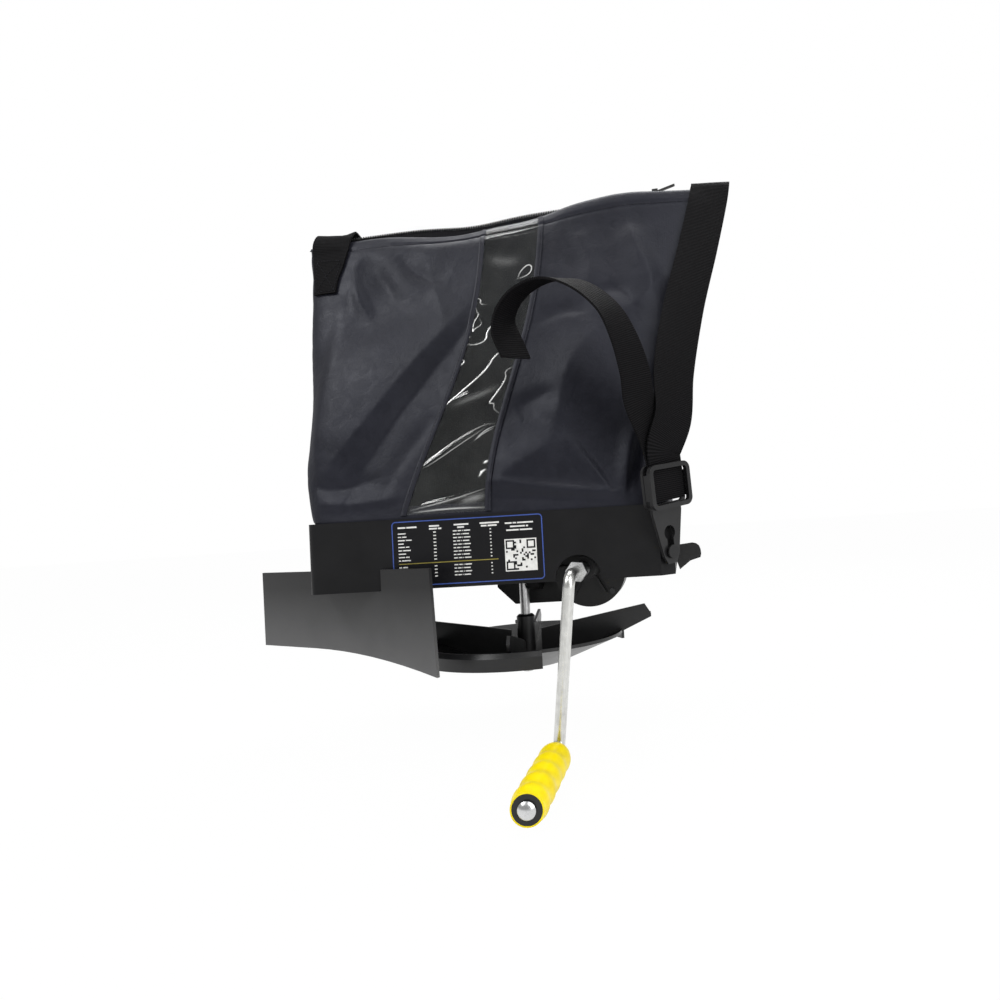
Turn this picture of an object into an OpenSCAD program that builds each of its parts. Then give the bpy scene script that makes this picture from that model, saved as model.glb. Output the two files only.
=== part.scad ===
// Shoulder-carried bag seed spreader with a hand crank, geared spinner and sliding feed gate.
// X runs from the belly face towards the throw, Y from the crank side to the dial side, Z up.
// The origin lies on the belly face of the pan, at mid depth, level with the crank axis.

/* [Pan] */
// Length of the pan from the belly face to the throw end
pan_len = 324; // [300:1:360]
// Depth of the pan from the crank side to the dial side
pan_depth = 180; // [172:1:200]
// Height of the pan walls
pan_height = 62; // [60:1:80]
// Wall thickness of the pan
pan_wall = 3; // [2:0.5:4]
// Radius of the pan's upright corners
pan_corner = 8; // [6:1:12]
// Chamfer on the corner that carries the strap stud
pan_chamfer = 12; // [10:1:14]
// Distance from the pan's lower edge up to the crank axis
axis_above_edge = 8; // [7:0.5:10]
// Distance from the crank axis up to the underside of the pan floor
floor_above_axis = 38; // [38:0.5:40]
// Thickness of the pan floor
floor_t = 3; // [2:0.5:4]

/* [Bag] */
// Height of the bag above the pan, at its middle
bag_height = 300; // [260:1:330]
// Width of the closed top edge of the bag
bag_top_w = 420; // [390:1:440]
// How far the middle of the top edge lies from the belly face
bag_top_x = 178; // [165:1:190]
// Rise of the top edge from one end to the other
bag_top_rise = 26; // [0:1:40]
// Thickness of the bag wall
bag_wall = 2; // [1.5:0.5:3]
// Depth of the closed top edge
bag_top_depth = 10; // [8:1:16]

/* [Window] */
// Width of the clear window at the pan
window_low_w = 74; // [60:1:90]
// Width of the clear window at the top
window_top_w = 62; // [50:1:80]
// Distance from the belly face to the middle of the window at the pan
window_low_x = 128; // [115:1:140]
// Distance from the belly face to the middle of the window at the top
window_top_x = 182; // [170:1:195]
// Thickness of the window sheet
window_t = 0.8; // [0.5:0.1:1.5]

/* [Zipper] */
// Distance from each end of the top edge to the zipper chain
zip_end = 12; // [10:1:30]
// Width of the zipper chain
zip_w = 6; // [5:0.5:8]
// Height of the zipper chain
zip_h = 3; // [2:0.5:4]
// Travel of the slider along the chain
zip_travel = 290; // [200:1:300]

/* [Strap] */
// Width of the strap webbing
strap_w = 38; // [30:1:40]
// Thickness of the strap webbing
strap_t = 1.8; // [1.2:0.1:2.5]
// Height of the strap stud above the crank axis
stud_z = 12; // [10:1:16]
// Radius of the stud's neck
stud_r = 3.5; // [3:0.25:4]
// Radius of the stud's head
stud_head_r = 6; // [5.5:0.25:7]
// Thickness of the hanger plate
hanger_t = 3; // [2:0.5:4]
// Width of the hanger plate where it meets the buckle
hanger_w = 34; // [28:1:40]
// Width of the bars round the buckle
buckle_bar = 4; // [3:0.5:5]
// Height of the buckle frame
buckle_h = 38; // [34:1:44]
// Lean of the hanger and its buckle towards the crank side
hanger_lean = 8; // [0:1:14]

/* [Crank] */
// Distance from the belly face to the crank axis
crank_x = 240; // [236:1:250]
// Radius from the crank axis to the grip axis
crank_arm = 139; // [120:1:150]
// Radius of the crank rod
rod_r = 4.75; // [4:0.25:5]
// Bend radius of the crank rod at its centre line
rod_bend = 10; // [9:0.5:14]
// Distance from the pan's front face out to the crank arm
arm_out = 47; // [44:1:55]
// Angle of the hanging crank from plumb
crank_rest = 6.6; // [0:0.2:12]
// Width of the crank nut across its flats
nut_flats = 16; // [14:1:17]
// Thickness of the crank nut
nut_t = 8; // [6:0.5:9]

/* [Grip] */
// Length of the grip
grip_len = 102; // [90:1:120]
// Radius of the grip at its swells
grip_r = 12.6; // [12:0.2:15]
// Depth of the grooves between the swells
grip_groove = 1.5; // [0.5:0.1:2]
// Number of swells on the grip
grip_swells = 5; // [3:1:7]
// Radius of the end plug
plug_r = 10; // [9:0.25:10.5]
// Depth of the end plug
plug_t = 6; // [4:0.5:8]

/* [Gears] */
// Module of the drive gears
gear_m = 1.5; // [1.4:0.05:1.5]
// Teeth on the crank gear
crank_teeth = 36; // [34:2:36]
// Teeth on the countershaft pinion
counter_pinion_teeth = 10; // [10:4:10]
// Teeth on the countershaft gear
counter_teeth = 20; // [20:4:20]
// Teeth on the spinner pinion
spinner_pinion_teeth = 10; // [10:4:10]
// Tooth width of the crown gears
crown_width = 3; // [2.5:0.5:4]
// Share of half a pitch that a tooth fills
tooth_fill = 0.75; // [0.65:0.05:0.8]
// Radius of the countershaft
counter_r = 4; // [3:0.25:4.5]
// Radius of the crank shaft
crank_shaft_r = 6.5; // [6:0.25:7]

/* [Gearbox] */
// Wall thickness of the gearbox
case_wall = 3; // [2.5:0.5:4]
// Lowest point of the gearbox mounting plate below the crank axis
plate_drop = 37; // [34:1:40]
// Length of the crank bearing in front of the gear chamber
crank_bearing = 42; // [30:1:48]
// Extra depth of the gear chamber's shell below its bore
case_sag = 5; // [0:0.5:6]
// Wall thickness of the bearing bushes
bush_wall = 2; // [1.5:0.25:2.5]

/* [Spinner] */
// Distance from the belly face to the spinner axis
spinner_x = 171; // [168:1:172]
// Radius of the spinner blades at their tips
blade_r = 125; // [110:1:125]
// Radius of the spinner dish
dish_r = 95; // [80:1:100]
// Radius of the flat bottom of the spinner dish
dish_flat_r = 36; // [25:1:50]
// Distance from the crank axis down to the bottom of the dish
dish_drop = 92; // [85:1:95]
// Depth of the dish from its rim to its bottom
dish_depth = 26; // [15:1:30]
// Wall thickness of the spinner
spinner_wall = 3; // [2:0.5:4]
// Number of spinner blades
blade_count = 4; // [2:2:6]
// Turn of the first blade from the throw direction
blade_turn = 4; // [0:1:80]
// Radius of the short fins between the long blades
fin_r = 101; // [96:1:108]
// Height of a blade above the dish rim
blade_h = 18; // [10:1:20]
// Rise of a blade from the dish rim to its tip
blade_rise = 14; // [5:1:16]
// Width of the blade's outer floor
blade_floor_w = 20; // [10:1:30]
// Height of the turned-down lip on two flanks of the dish
lip_h = 15; // [8:1:18]
// Start of the first lip from the throw direction
lip_start = 205; // [190:1:230]
// Sweep of each lip round the dish
lip_sweep = 85; // [40:1:100]
// Radius of the spinner shaft
shaft_r = 4.75; // [4:0.25:5]

/* [Feed] */
// Length of the feed port
port_len = 32; // [25:1:34]
// Width of the feed port
port_w = 18; // [12:1:18]
// Thickness of the gate
gate_t = 2.5; // [2:0.25:3]
// Length of the finger tab outside the pan
tab_len = 27; // [20:1:35]
// Module of the dial rack
rack_m = 1.25; // [1.25:0.05:1.3]
// Teeth on the dial pinion
dial_teeth = 14; // [14:4:14]
// Radius of the dial knob
dial_r = 17; // [14:0.5:17]
// Thickness of the dial knob
dial_t = 10; // [8:0.5:14]
// Radius of the dial shaft
dial_shaft_r = 4; // [3:0.25:4.5]

/* [Deflector] */
// Distance from the belly face to where the deflector plate crosses the front wall
deflector_cross = 62; // [55:1:68]
// Angle of the deflector plate to the front wall
deflector_yaw = 28; // [26:0.5:30]
// Length of the deflector plate from the front wall towards the throw
deflector_right = 67; // [50:1:70]
// Length of the deflector plate from the front wall past the belly face
deflector_left = 173; // [120:1:180]
// Length of the level part of the lower edge, measured back from the front wall
deflector_flat = 90; // [40:1:130]
// Thickness of the deflector plate
deflector_t = 3; // [2:0.5:3.5]
// Height of the deflector plate above the crank axis
deflector_top = 11; // [6:1:20]
// Lowest corner of the deflector plate below the crank axis
deflector_drop = 79; // [65:1:85]
// Depth of the deflector plate below the crank axis at the belly end
deflector_drop_low = 61; // [40:1:64]

/* [Hidden] */
$fn = 64;

// Clearances
run = 0.05;
fit = 0.05;
gap = 0.3;

// Pan levels and faces
pan_z0 = -axis_above_edge;
pan_z1 = pan_z0 + pan_height;
front_y = -pan_depth / 2;
back_y = pan_depth / 2;
floor_z = floor_above_axis;
floor_top = floor_z + floor_t;

// Gear sizes and places
crank_pitch_r = crank_teeth * gear_m / 2;
counter_pinion_r = counter_pinion_teeth * gear_m / 2;
counter_pitch_r = counter_teeth * gear_m / 2;
spinner_pinion_r = spinner_pinion_teeth * gear_m / 2;
pressure_angle = 20;
crown_add = 0.6 * gear_m;
crown_ded = 1.25 * gear_m;
crown_body = 4;
crank_gear_y = -counter_pinion_r;
crank_gear_back = crank_gear_y - crown_ded - crown_body;
counter_pinion_x = crank_x - crank_pitch_r;
counter_gear_x = spinner_x + spinner_pinion_r;
counter_gear_back = counter_gear_x + crown_ded + crown_body;
pinion_w = crown_width + 3;

// Gearbox places
chamber_r = crank_pitch_r + crown_width / 2 + 3;
chamber_front = crank_gear_back - 1;
chamber_back = counter_pinion_r + gear_m + 2;
case_r = chamber_r + case_wall;
cover_t = 3;
boss_r = crank_shaft_r + run + bush_wall + fit + 2.5;
bearing_front = chamber_front - cover_t - crank_bearing;
block_half = counter_r + run + bush_wall + fit + 5;
block_x0 = counter_gear_back + 0.6;
block_x1 = counter_pinion_x - pinion_w / 2 - 0.6;
drum_r = counter_pitch_r + crown_width / 2 + 2;
plate_y = drum_r + case_wall + 1;
plate_t = 4;
plate_x0 = spinner_x - 33;
plate_chamfer = 18;
shaft_boss_r = shaft_r + run + bush_wall + fit + 3.5;
shaft_boss_h = 14;
shaft_boss_z = floor_z - gap - shaft_boss_h;
flange_t = 4;

// Crank places
arm_y = front_y - arm_out;
nut_y = front_y - 4 - nut_t;
rod_in = 18;
crank_shaft_y0 = nut_y + nut_t + 0.2;
crank_shaft_y1 = crank_gear_y - crown_ded + 1;
grip_y1 = arm_y - rod_bend - 0.5;
grip_y0 = grip_y1 - grip_len;
rod_end_y = grip_y0 - 1;
cap_r = 6;

// Spinner levels
dish_z = -dish_drop;
rim_z = dish_z + dish_depth;
hub_r = 9;
hub_top = rim_z + 21;
shaft_low = dish_z - 9;
shaft_high = floor_top + 11;

// Gate and dial places
gate_y0 = plate_y + plate_t + 14;
gate_w = port_w + 12;
gate_z = floor_z - gap - gate_t;
port_x = spinner_x - 21;
port_y = gate_y0 + 5;
gate_travel = port_len + 4;
gate_x0 = port_x - gate_travel - 10;
gate_x1 = 268;
web_y = gate_y0 + gate_w - 3;
web_t = 3;
rack_z = gate_z - 17;
dial_pitch_r = dial_teeth * rack_m / 2;
dial_x = 230;
dial_z = rack_z - dial_pitch_r;
rack_add = 0.7 * rack_m;
rack_ded = 1.25 * rack_m;
slot_top = 15;

// Bag and zipper places
bag_z0 = pan_z1;
bag_low_inset = 1;
hem_inset = pan_wall + 0.4;
hem_t = 1.4;
bag_rings = 12;
bag_sides = 48;
zip_tilt = atan(bag_top_rise / bag_top_w);
zip_len = bag_top_w - 2 * zip_end;
zip_z = bag_z0 + bag_height + 0.3;
slider_len = 14;
slider_start = zip_len / 2 - 54;

// Places of the strap's hanger, square to the chamfered corner
stud_x = pan_len - pan_chamfer / 2;
stud_y = front_y + pan_chamfer / 2;
hanger_tilt = 4;
hanger_off = 2.6;
stud_neck = hanger_off + hanger_t + 1;
hanger_low = 10;
key_rise = 17;
buckle_low = 39;
buckle_top = buckle_low + buckle_h;
buckle_gap = 0.6;
buckle_w = strap_w + 2 * (buckle_gap + buckle_bar);
web_first = strap_t / 2 + 0.4;
web_second = strap_t * 1.5 + 0.9;
buckle_out = 2 * strap_t + 1.4;

// Rods along X and Y
module rod_x(r, x0, x1) {
  translate([x0, 0, 0]) rotate([0, 90, 0]) cylinder(r = r, h = x1 - x0);
}

module rod_y(r, y0, y1) {
  translate([0, y0, 0]) rotate([-90, 0, 0]) cylinder(r = r, h = y1 - y0);
}

// Plan of the pan, inset from its outer faces, with one chamfered corner
module pan_plan(inset) {
  r = max(pan_corner - inset, 1);
  c = pan_chamfer - inset * (2 - sqrt(2));
  x1 = pan_len - inset;
  y0 = front_y + inset;
  y1 = back_y - inset;
  difference() {
    union() {
      translate([inset + r, y0]) square([x1 - inset - 2 * r, y1 - y0]);
      translate([inset, y0 + r]) square([x1 - inset, y1 - y0 - 2 * r]);
      for (x = [inset + r, x1 - r], y = [y0 + r, y1 - r])
        translate([x, y]) circle(r);
    }
    polygon([[x1 + 1, y0 - 1], [x1 + 1, y0 + c], [x1, y0 + c], [x1 - c, y0], [x1 - c, y0 - 1]]);
  }
}

// Involute spur gear outline
function involute(base_r, r) = sqrt(r * r / (base_r * base_r) - 1) * 180 / PI - acos(base_r / r);

module spur_outline(teeth, m) {
  r = teeth * m / 2;
  base_r = r * cos(pressure_angle);
  root_r = r - 1.25 * m;
  tip_r = r + m;
  flank = [base_r, (base_r + r) / 2, r, (r + tip_r) / 2, tip_r];
  half = [for (f = flank) tooth_fill * 90 / teeth + involute(base_r, r) - involute(base_r, f)];
  last = len(flank) - 1;
  polygon([
    for (k = [0 : teeth - 1])
      let (a = k * 360 / teeth)
        each concat(
          [[root_r * cos(a - half[0]), root_r * sin(a - half[0])]],
          [for (i = [0 : last]) [flank[i] * cos(a - half[i]), flank[i] * sin(a - half[i])]],
          [for (i = [last : -1 : 0]) [flank[i] * cos(a + half[i]), flank[i] * sin(a + half[i])]],
          [[root_r * cos(a + half[0]), root_r * sin(a + half[0])]]
        )
  ]);
}

// Outline of one straight rack tooth, its pitch line at zero
module rack_tooth(m, add, ded) {
  half = tooth_fill * PI * m / 4;
  lean = tan(pressure_angle);
  polygon([
    [-half - ded * lean, -ded], [half + ded * lean, -ded],
    [half - add * lean, add], [-half + add * lean, add]
  ]);
}

// Crown gear with its pitch plane at zero and its teeth facing up
module crown_gear(teeth, bore_r) {
  r = teeth * gear_m / 2;
  difference() {
    union() {
      translate([0, 0, -crown_ded - crown_body]) cylinder(r = r + crown_width / 2 + 0.5, h = crown_body);
      for (k = [0 : teeth - 1])
        rotate([0, 0, k * 360 / teeth])
          translate([r - crown_width / 2, 0, 0])
            rotate([90, 0, 90])
              linear_extrude(crown_width) rack_tooth(gear_m, crown_add, crown_ded + 0.4);
    }
    translate([0, 0, -crown_ded - crown_body - 1]) cylinder(r = bore_r, h = crown_body + crown_ded + 2);
  }
}

// Plain bearing bush along Z
module bush(shaft, length) {
  difference() {
    cylinder(r = shaft + run + bush_wall, h = length);
    translate([0, 0, -1]) cylinder(r = shaft + run, h = length + 2);
  }
}

// Pan screw with its head below
module pan_screw(shank_r, head_r, head_t, length) {
  translate([0, 0, -head_t]) cylinder(r = head_r, h = head_t);
  cylinder(r = shank_r, h = length);
}

// Bag surface, worked out from its height share s
function bag_left(s) =
  bag_low_inset + (bag_top_x - pan_len / 2) * s - (bag_top_w / 2 - pan_len / 2 + bag_low_inset) * pow(s, 0.65);
function bag_right(s) =
  pan_len - bag_low_inset + (bag_top_x + bag_top_w / 2 - pan_len + bag_low_inset) * pow(s, 1.25);
function bag_mid(s) = (bag_left(s) + bag_right(s)) / 2;
function bag_half_w(s) = (bag_right(s) - bag_left(s)) / 2;
function bag_half_d(s) = (pan_depth / 2 - bag_low_inset - bag_top_depth / 2) * pow(1 - s, 0.8) + bag_top_depth / 2;
function bag_square(s) = 3.5 + 10.5 * pow(1 - s, 3);
function bag_rise(x, s) = s * bag_top_rise * (x - bag_top_x) / bag_top_w;
function bag_level(x, s) = bag_z0 + bag_height * s + bag_rise(x, s);
function bag_front(x, s) =
  -bag_half_d(s) * pow(1 - pow(min(abs(x - bag_mid(s)) / bag_half_w(s), 1), bag_square(s)), 1 / bag_square(s));
function sign_pow(v, e) = sign(v) * pow(abs(v), e);

function bag_ring(s, inset) = [
  for (k = [0 : bag_sides - 1])
    let (
      a = k * 360 / bag_sides,
      e = 2 / bag_square(s),
      x = bag_mid(s) + (bag_half_w(s) - inset) * sign_pow(cos(a), e),
      y = (bag_half_d(s) - inset) * sign_pow(sin(a), e)
    )
    [x, y, bag_level(x, s)]
];

// Plan of the bag's hem inside the pan, and the same plan at a level
function hem_plan(inset) = [for (p = bag_ring(0, inset - bag_low_inset)) [p[0], p[1]]];
function hem_ring(z, inset) = [for (p = hem_plan(inset)) [p[0], p[1], z]];

// Solid through a stack of closed rings with the same number of points
module loft(rings) {
  n = len(rings[0]);
  m = len(rings);
  sides = [
    for (i = [0 : m - 2], k = [0 : n - 1])
      let (a = i * n + k, b = i * n + (k + 1) % n)
        each [[a, a + n, b], [b, a + n, b + n]]
  ];
  low = [for (k = [1 : n - 2]) [0, k, k + 1]];
  high = [for (k = [1 : n - 2]) [(m - 1) * n, (m - 1) * n + k + 1, (m - 1) * n + k]];
  polyhedron(points = [for (r = rings) each r], faces = concat(low, sides, high));
}

// Webbing swept along stations of place and outward normal
function unit(v) = v / norm(v);
function along(route, i) =
  unit(route[min(i + 1, len(route) - 1)][0] - route[max(i - 1, 0)][0]);

module webbing(route, width) {
  loft([
    for (i = [0 : len(route) - 1])
      let (
        t = along(route, i),
        w = unit(cross(t, route[i][1])) * width / 2,
        n = unit(cross(w, t)) * strap_t / 2,
        p = route[i][0]
      )
      [p - w + n, p + w + n, p + w - n, p - w - n]
  ]);
}

// Half of the diagonal direction that the chamfered corner faces
diag = sqrt(0.5);

// Place on the front of the tilted and leaning hanger, a height up from its stud and a distance out
function hanger_place(h, out) =
  let (
    u = -h * sin(hanger_lean),
    v = h * cos(hanger_lean),
    d = hanger_off + v * tan(hanger_tilt) + hanger_t / cos(hanger_tilt) + out
  )
  [stud_x + diag * (u + d), stud_y + diag * (u - d), stud_z + v];

// Route of the shoulder strap: from the sewn end, behind the bag and down to the buckle
strap_off = 1.6;
function strap_over(x) = [x, 0, bag_level(x, 1) + 0.3 + zip_h + 1 + strap_t / 2 + 1.4];
function strap_front(x, edge, s) = [x, bag_front(x + edge, s) - strap_off, bag_level(x, s)];
function strap_back(x, edge, s) = [x, strap_off - bag_front(x + edge, s) + 3.5, bag_level(x, s)];
sewn_x = -14;
over_x = 381;
edge_in = strap_w / 2 + 2;
strap_route = [
  [strap_front(sewn_x - 1, edge_in, 0.8) + [0, -1, 0], [0, -1, 0.25]],
  [strap_front(sewn_x - 1, edge_in, 0.9) + [0, -1, 0], [0, -1, 0.25]],
  [strap_front(sewn_x, edge_in, 0.985) + [0, -1.5, 0], [0, -1, 0.2]],
  [strap_over(sewn_x + 3) + [0, -4, 0], [0, -1, 1]],
  [strap_over(sewn_x + 5) + [0, 4, 0], [0, 1, 1]],
  [strap_back(sewn_x + 8, edge_in, 0.985) + [0, -1, 0], [0, 1, 0.2]],
  [strap_back(12, edge_in, 0.74), [0, 1, 0.27]],
  [strap_back(32, edge_in, 0.52), [0, 1, 0.27]],
  [strap_back(64, edge_in, 0.34), [0, 1, 0.27]],
  [strap_back(108, edge_in, 0.22), [0, 1, 0.27]],
  [strap_back(160, 0, 0.17), [0, 1, 0.27]],
  [strap_back(218, -edge_in, 0.22), [0, 1, 0.27]],
  [strap_back(272, -edge_in, 0.34), [0, 1, 0.27]],
  [strap_back(312, -edge_in, 0.54), [0, 1, 0.27]],
  [strap_back(348, -edge_in, 0.76), [0, 1, 0.27]],
  [strap_back(over_x - 5, -edge_in, 0.985) + [0, -1, 0], [0, 1, 0.2]],
  [strap_over(over_x) + [0, 4, 0], [0, 1, 1]],
  [strap_over(over_x) + [0, -4, 0], [0, -1, 1]],
  [strap_front(over_x - 3, -edge_in, 0.97) + [0, -1.5, 0], [0, -1, 0.15]],
  [[364, -28, 302], [0, -1, 0.15]],
  [[345, -52, 233], [0.1, -1, 0.15]],
  [[332, -80, 164], [0.35, -0.94, 0.1]],
  [[331, -90, 140], [0.65, -0.76, 0.05]],
  [[329, -98, 114], [0.68, -0.73, 0]],
  [hanger_place(buckle_top + 11, web_second + 0.8), [diag, -diag, 0]],
  [hanger_place(buckle_top - 4, web_second), [diag, -diag, 0]],
  [hanger_place(buckle_low + 6, web_second), [diag, -diag, 0]]
];

// Route of the strap's loose tail, out of the buckle behind the strap, over and curled under
tail_route = [
  [hanger_place(buckle_low + 6, web_first), [diag, -diag, 0]],
  [hanger_place(buckle_top + 1, web_first), [diag, -diag, 0]],
  [[313, -103, 112], [0.72, -0.68, 0.1]],
  [[303, -111, 140], [0.72, -0.66, 0.15]],
  [[302, -118, 163], [0.72, -0.66, 0.2]],
  [[294, -125, 194], [0.7, -0.64, 0.3]],
  [[282, -131, 217], [0.55, -0.6, 0.6]],
  [[258, -135, 235], [0.2, -0.5, 0.85]],
  [[230, -135, 240], [-0.1, -0.4, 0.92]],
  [[206, -132, 232], [-0.6, -0.1, 0.8]],
  [[191, -129, 217], [-0.9, 0.3, 0.2]],
  [[194, -127, 203], [-0.7, 0.5, -0.4]],
  [[202, -126, 191], [-0.55, 0.65, -0.35]],
  [[207, -126, 182], [-0.55, 0.65, -0.3]]
];

module hopper_pan() {
  color("#1d1d20")
    difference() {
      union() {
        difference() {
          translate([0, 0, pan_z0]) linear_extrude(pan_height) pan_plan(0);
          translate([0, 0, pan_z0 - 1]) linear_extrude(floor_z - pan_z0 + 1) pan_plan(pan_wall);
          translate([0, 0, floor_top]) linear_extrude(pan_height) pan_plan(pan_wall);
        }
        gate_rails();
      }
      crank_notch();
      translate([spinner_x, 0, floor_z - 1]) cylinder(r = shaft_r + 0.4, h = floor_t + 2);
      translate([port_x, port_y, floor_z - 1]) cube([port_len, port_w, floor_t + 2]);
      translate([pan_len - pan_wall - 2, web_y - 0.6, pan_z0 - 1])
        cube([pan_wall + 4, web_t + 1.2, slot_top - pan_z0 + 1]);
      translate([dial_x, 0, dial_z]) rod_y(dial_shaft_r + run, back_y - pan_wall - 1, back_y + 1);
      translate([stud_x, stud_y, stud_z])
        rotate([0, 0, -45]) rod_x(stud_r - 1 + fit, -pan_wall - 4, 1);
      frame_screw_places() translate([0, 0, -floor_t - 1]) cylinder(r = 1.5 + fit, h = floor_t + 2);
      case_screw_places() translate([0, 0, floor_z - 1]) cylinder(r = 2 + fit, h = floor_t + 2);
    }
}

// Opening in the front wall round the crank
module crank_notch() {
  notch_r = 20;
  translate([crank_x, 0, -6]) rod_y(notch_r, front_y - 1, front_y + pan_wall + 1);
}

// Guides that hold the gate up against the floor
module gate_rails() {
  lip = 2.5;
  lip_z = gate_z - gap - lip;
  length = gate_x1 - gate_x0 - 24;
  for (side = [0, 1])
    translate([gate_x0 + 12, side == 0 ? gate_y0 - gap - 3 : gate_y0 + gate_w + gap, lip_z])
      cube([length, 3, floor_z - lip_z + 0.5]);
  translate([gate_x0 + 12, gate_y0 - gap - 1, lip_z]) cube([length, 4 + gap, lip]);
}

module bag_frame() {
  inset = hem_inset + hem_t + gap;
  frame_h = pan_z1 - floor_top - 0.5;
  frame_t = 3;
  foot = 9;
  color("#28282b")
    difference() {
      union() {
        translate([0, 0, floor_top])
          linear_extrude(frame_h)
            difference() {
              polygon(hem_plan(inset));
              polygon(hem_plan(inset + frame_t));
            }
        frame_screw_places() translate([-foot / 2, -foot / 2 - 2, 0]) cube([foot, foot + 2, 3]);
      }
      frame_screw_places() translate([0, 0, -1]) cylinder(r = 1.5 + fit, h = 5);
    }
}

// Screws through the feet of the bag frame into the pan floor
module frame_screw_places() {
  in = pan_wall + 11;
  end = 24;
  for (k = [0 : 3])
    let (x = end + k * (pan_len - 2 * end) / 3) {
    translate([x, front_y + in, floor_top]) children();
    translate([x, back_y - in, floor_top]) mirror([0, 1, 0]) children();
  }
}

module frame_screws() {
  color("#8d8d90")
    frame_screw_places() {
      translate([0, 0, -floor_t]) cylinder(r = 1.5, h = floor_t + 3);
      translate([0, 0, 3]) cylinder(r = 3, h = 1.6);
    }
}

module bag() {
  step_z = bag_z0 + 0.3;
  low_z = floor_top + 3.5;
  out = [for (i = [0 : bag_rings]) bag_ring(i / bag_rings, 0)];
  in = [for (i = [0 : bag_rings]) bag_ring(min(i / bag_rings, 0.985), bag_wall + 0.002 * i)];
  color("#1b1c26")
    difference() {
      loft(concat(
        [hem_ring(low_z, hem_inset), hem_ring(step_z - 0.1, hem_inset), hem_ring(step_z, bag_low_inset)],
        [for (i = [1 : bag_rings]) out[i]]
      ));
      loft(concat(
        [hem_ring(low_z - 1, hem_inset + hem_t), hem_ring(step_z + 3, hem_inset + hem_t)],
        [for (i = [1 : bag_rings]) in[i]]
      ));
    }
}

module bag_window() {
  steps = 12;
  cols = 4;
  out = 0.35;
  low = 0.05;
  high = 0.95;
  function place(i, j, off) =
    let (
      s = low + (high - low) * i / steps,
      w = window_low_w + (window_top_w - window_low_w) * s,
      x = window_low_x + (window_top_x - window_low_x) * s + w * (j / cols - 0.5)
    )
    [x, bag_front(x, s) - off, bag_level(x, s)];
  color("#3c3f42")
    loft([
      for (i = [0 : steps])
        concat(
          [for (j = [0 : cols]) place(i, j, out + window_t)],
          [for (j = [cols : -1 : 0]) place(i, j, out)]
        )
    ]);
}

// Frame of the zipper: along its chain, tilted with the bag's top edge
module on_zipper() {
  translate([bag_top_x, 0, zip_z]) rotate([0, -zip_tilt, 0]) children();
}

module zipper_chain() {
  color("#101013")
    on_zipper() {
      translate([-zip_len / 2, -zip_w / 2, 0]) cube([zip_len, zip_w, zip_h]);
      translate([zip_len / 2 - 0.5, -zip_w / 2 + 0.5, 0]) cube([4, zip_w - 1, zip_h - 0.5]);
    }
}

module zipper_slider() {
  wall = 1.5;
  inner_w = zip_w + 2 * gap;
  color("#26262a")
    on_zipper()
      translate([slider_start - slider_len / 2, 0, 0]) {
        difference() {
          translate([0, -inner_w / 2 - wall, 0.4]) cube([slider_len, inner_w + 2 * wall, zip_h + gap + wall - 0.4]);
          translate([-1, -inner_w / 2, -1]) cube([slider_len + 2, inner_w, zip_h + gap + 1]);
        }
        for (side = [-1, 1])
          translate([slider_len - 6, side * 2.5 - 0.75, zip_h + gap + wall - 0.1])
            difference() {
              cube([6, 1.5, 5]);
              translate([3, 0, 2.5]) rod_y(0.8 + run, -1, 3);
            }
      }
}

module zipper_pull() {
  pull_len = 22;
  pin_x = slider_start - slider_len / 2 + slider_len - 3;
  color("#26262a")
    on_zipper()
      translate([pin_x, 0, zip_h + gap + 1.5 - 0.1 + 2.5])
        rotate([0, -14, 0]) {
          rod_y(0.8, -3.2, 3.2);
          difference() {
            translate([-1, -1.4, -0.8]) cube([pull_len, 2.8, 1.6]);
            translate([pull_len - 6, -0.6, -1]) cube([3, 1.2, 3]);
          }
        }
}

module shoulder_strap() {
  color("#131316") webbing(strap_route, strap_w);
}

module strap_tail() {
  color("#131316") webbing(tail_route, strap_w);
}

// Frame of the hanger: local X along the plate, local Y out of the corner, at the stud
module at_stud() {
  translate([stud_x, stud_y, stud_z]) rotate([0, 0, 45]) mirror([0, 1, 0]) children();
}

// Rounded frame round the webbing, its lower edge at zero
module buckle_outline(inset, r) {
  w = buckle_w - 2 * inset;
  h = buckle_h - 2 * inset;
  translate([0, buckle_h / 2])
    union() {
      square([w - 2 * r, h], center = true);
      square([w, h - 2 * r], center = true);
      for (x = [-1, 1], y = [-1, 1])
        translate([x * (w / 2 - r), y * (h / 2 - r)]) circle(r);
    }
}

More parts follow.
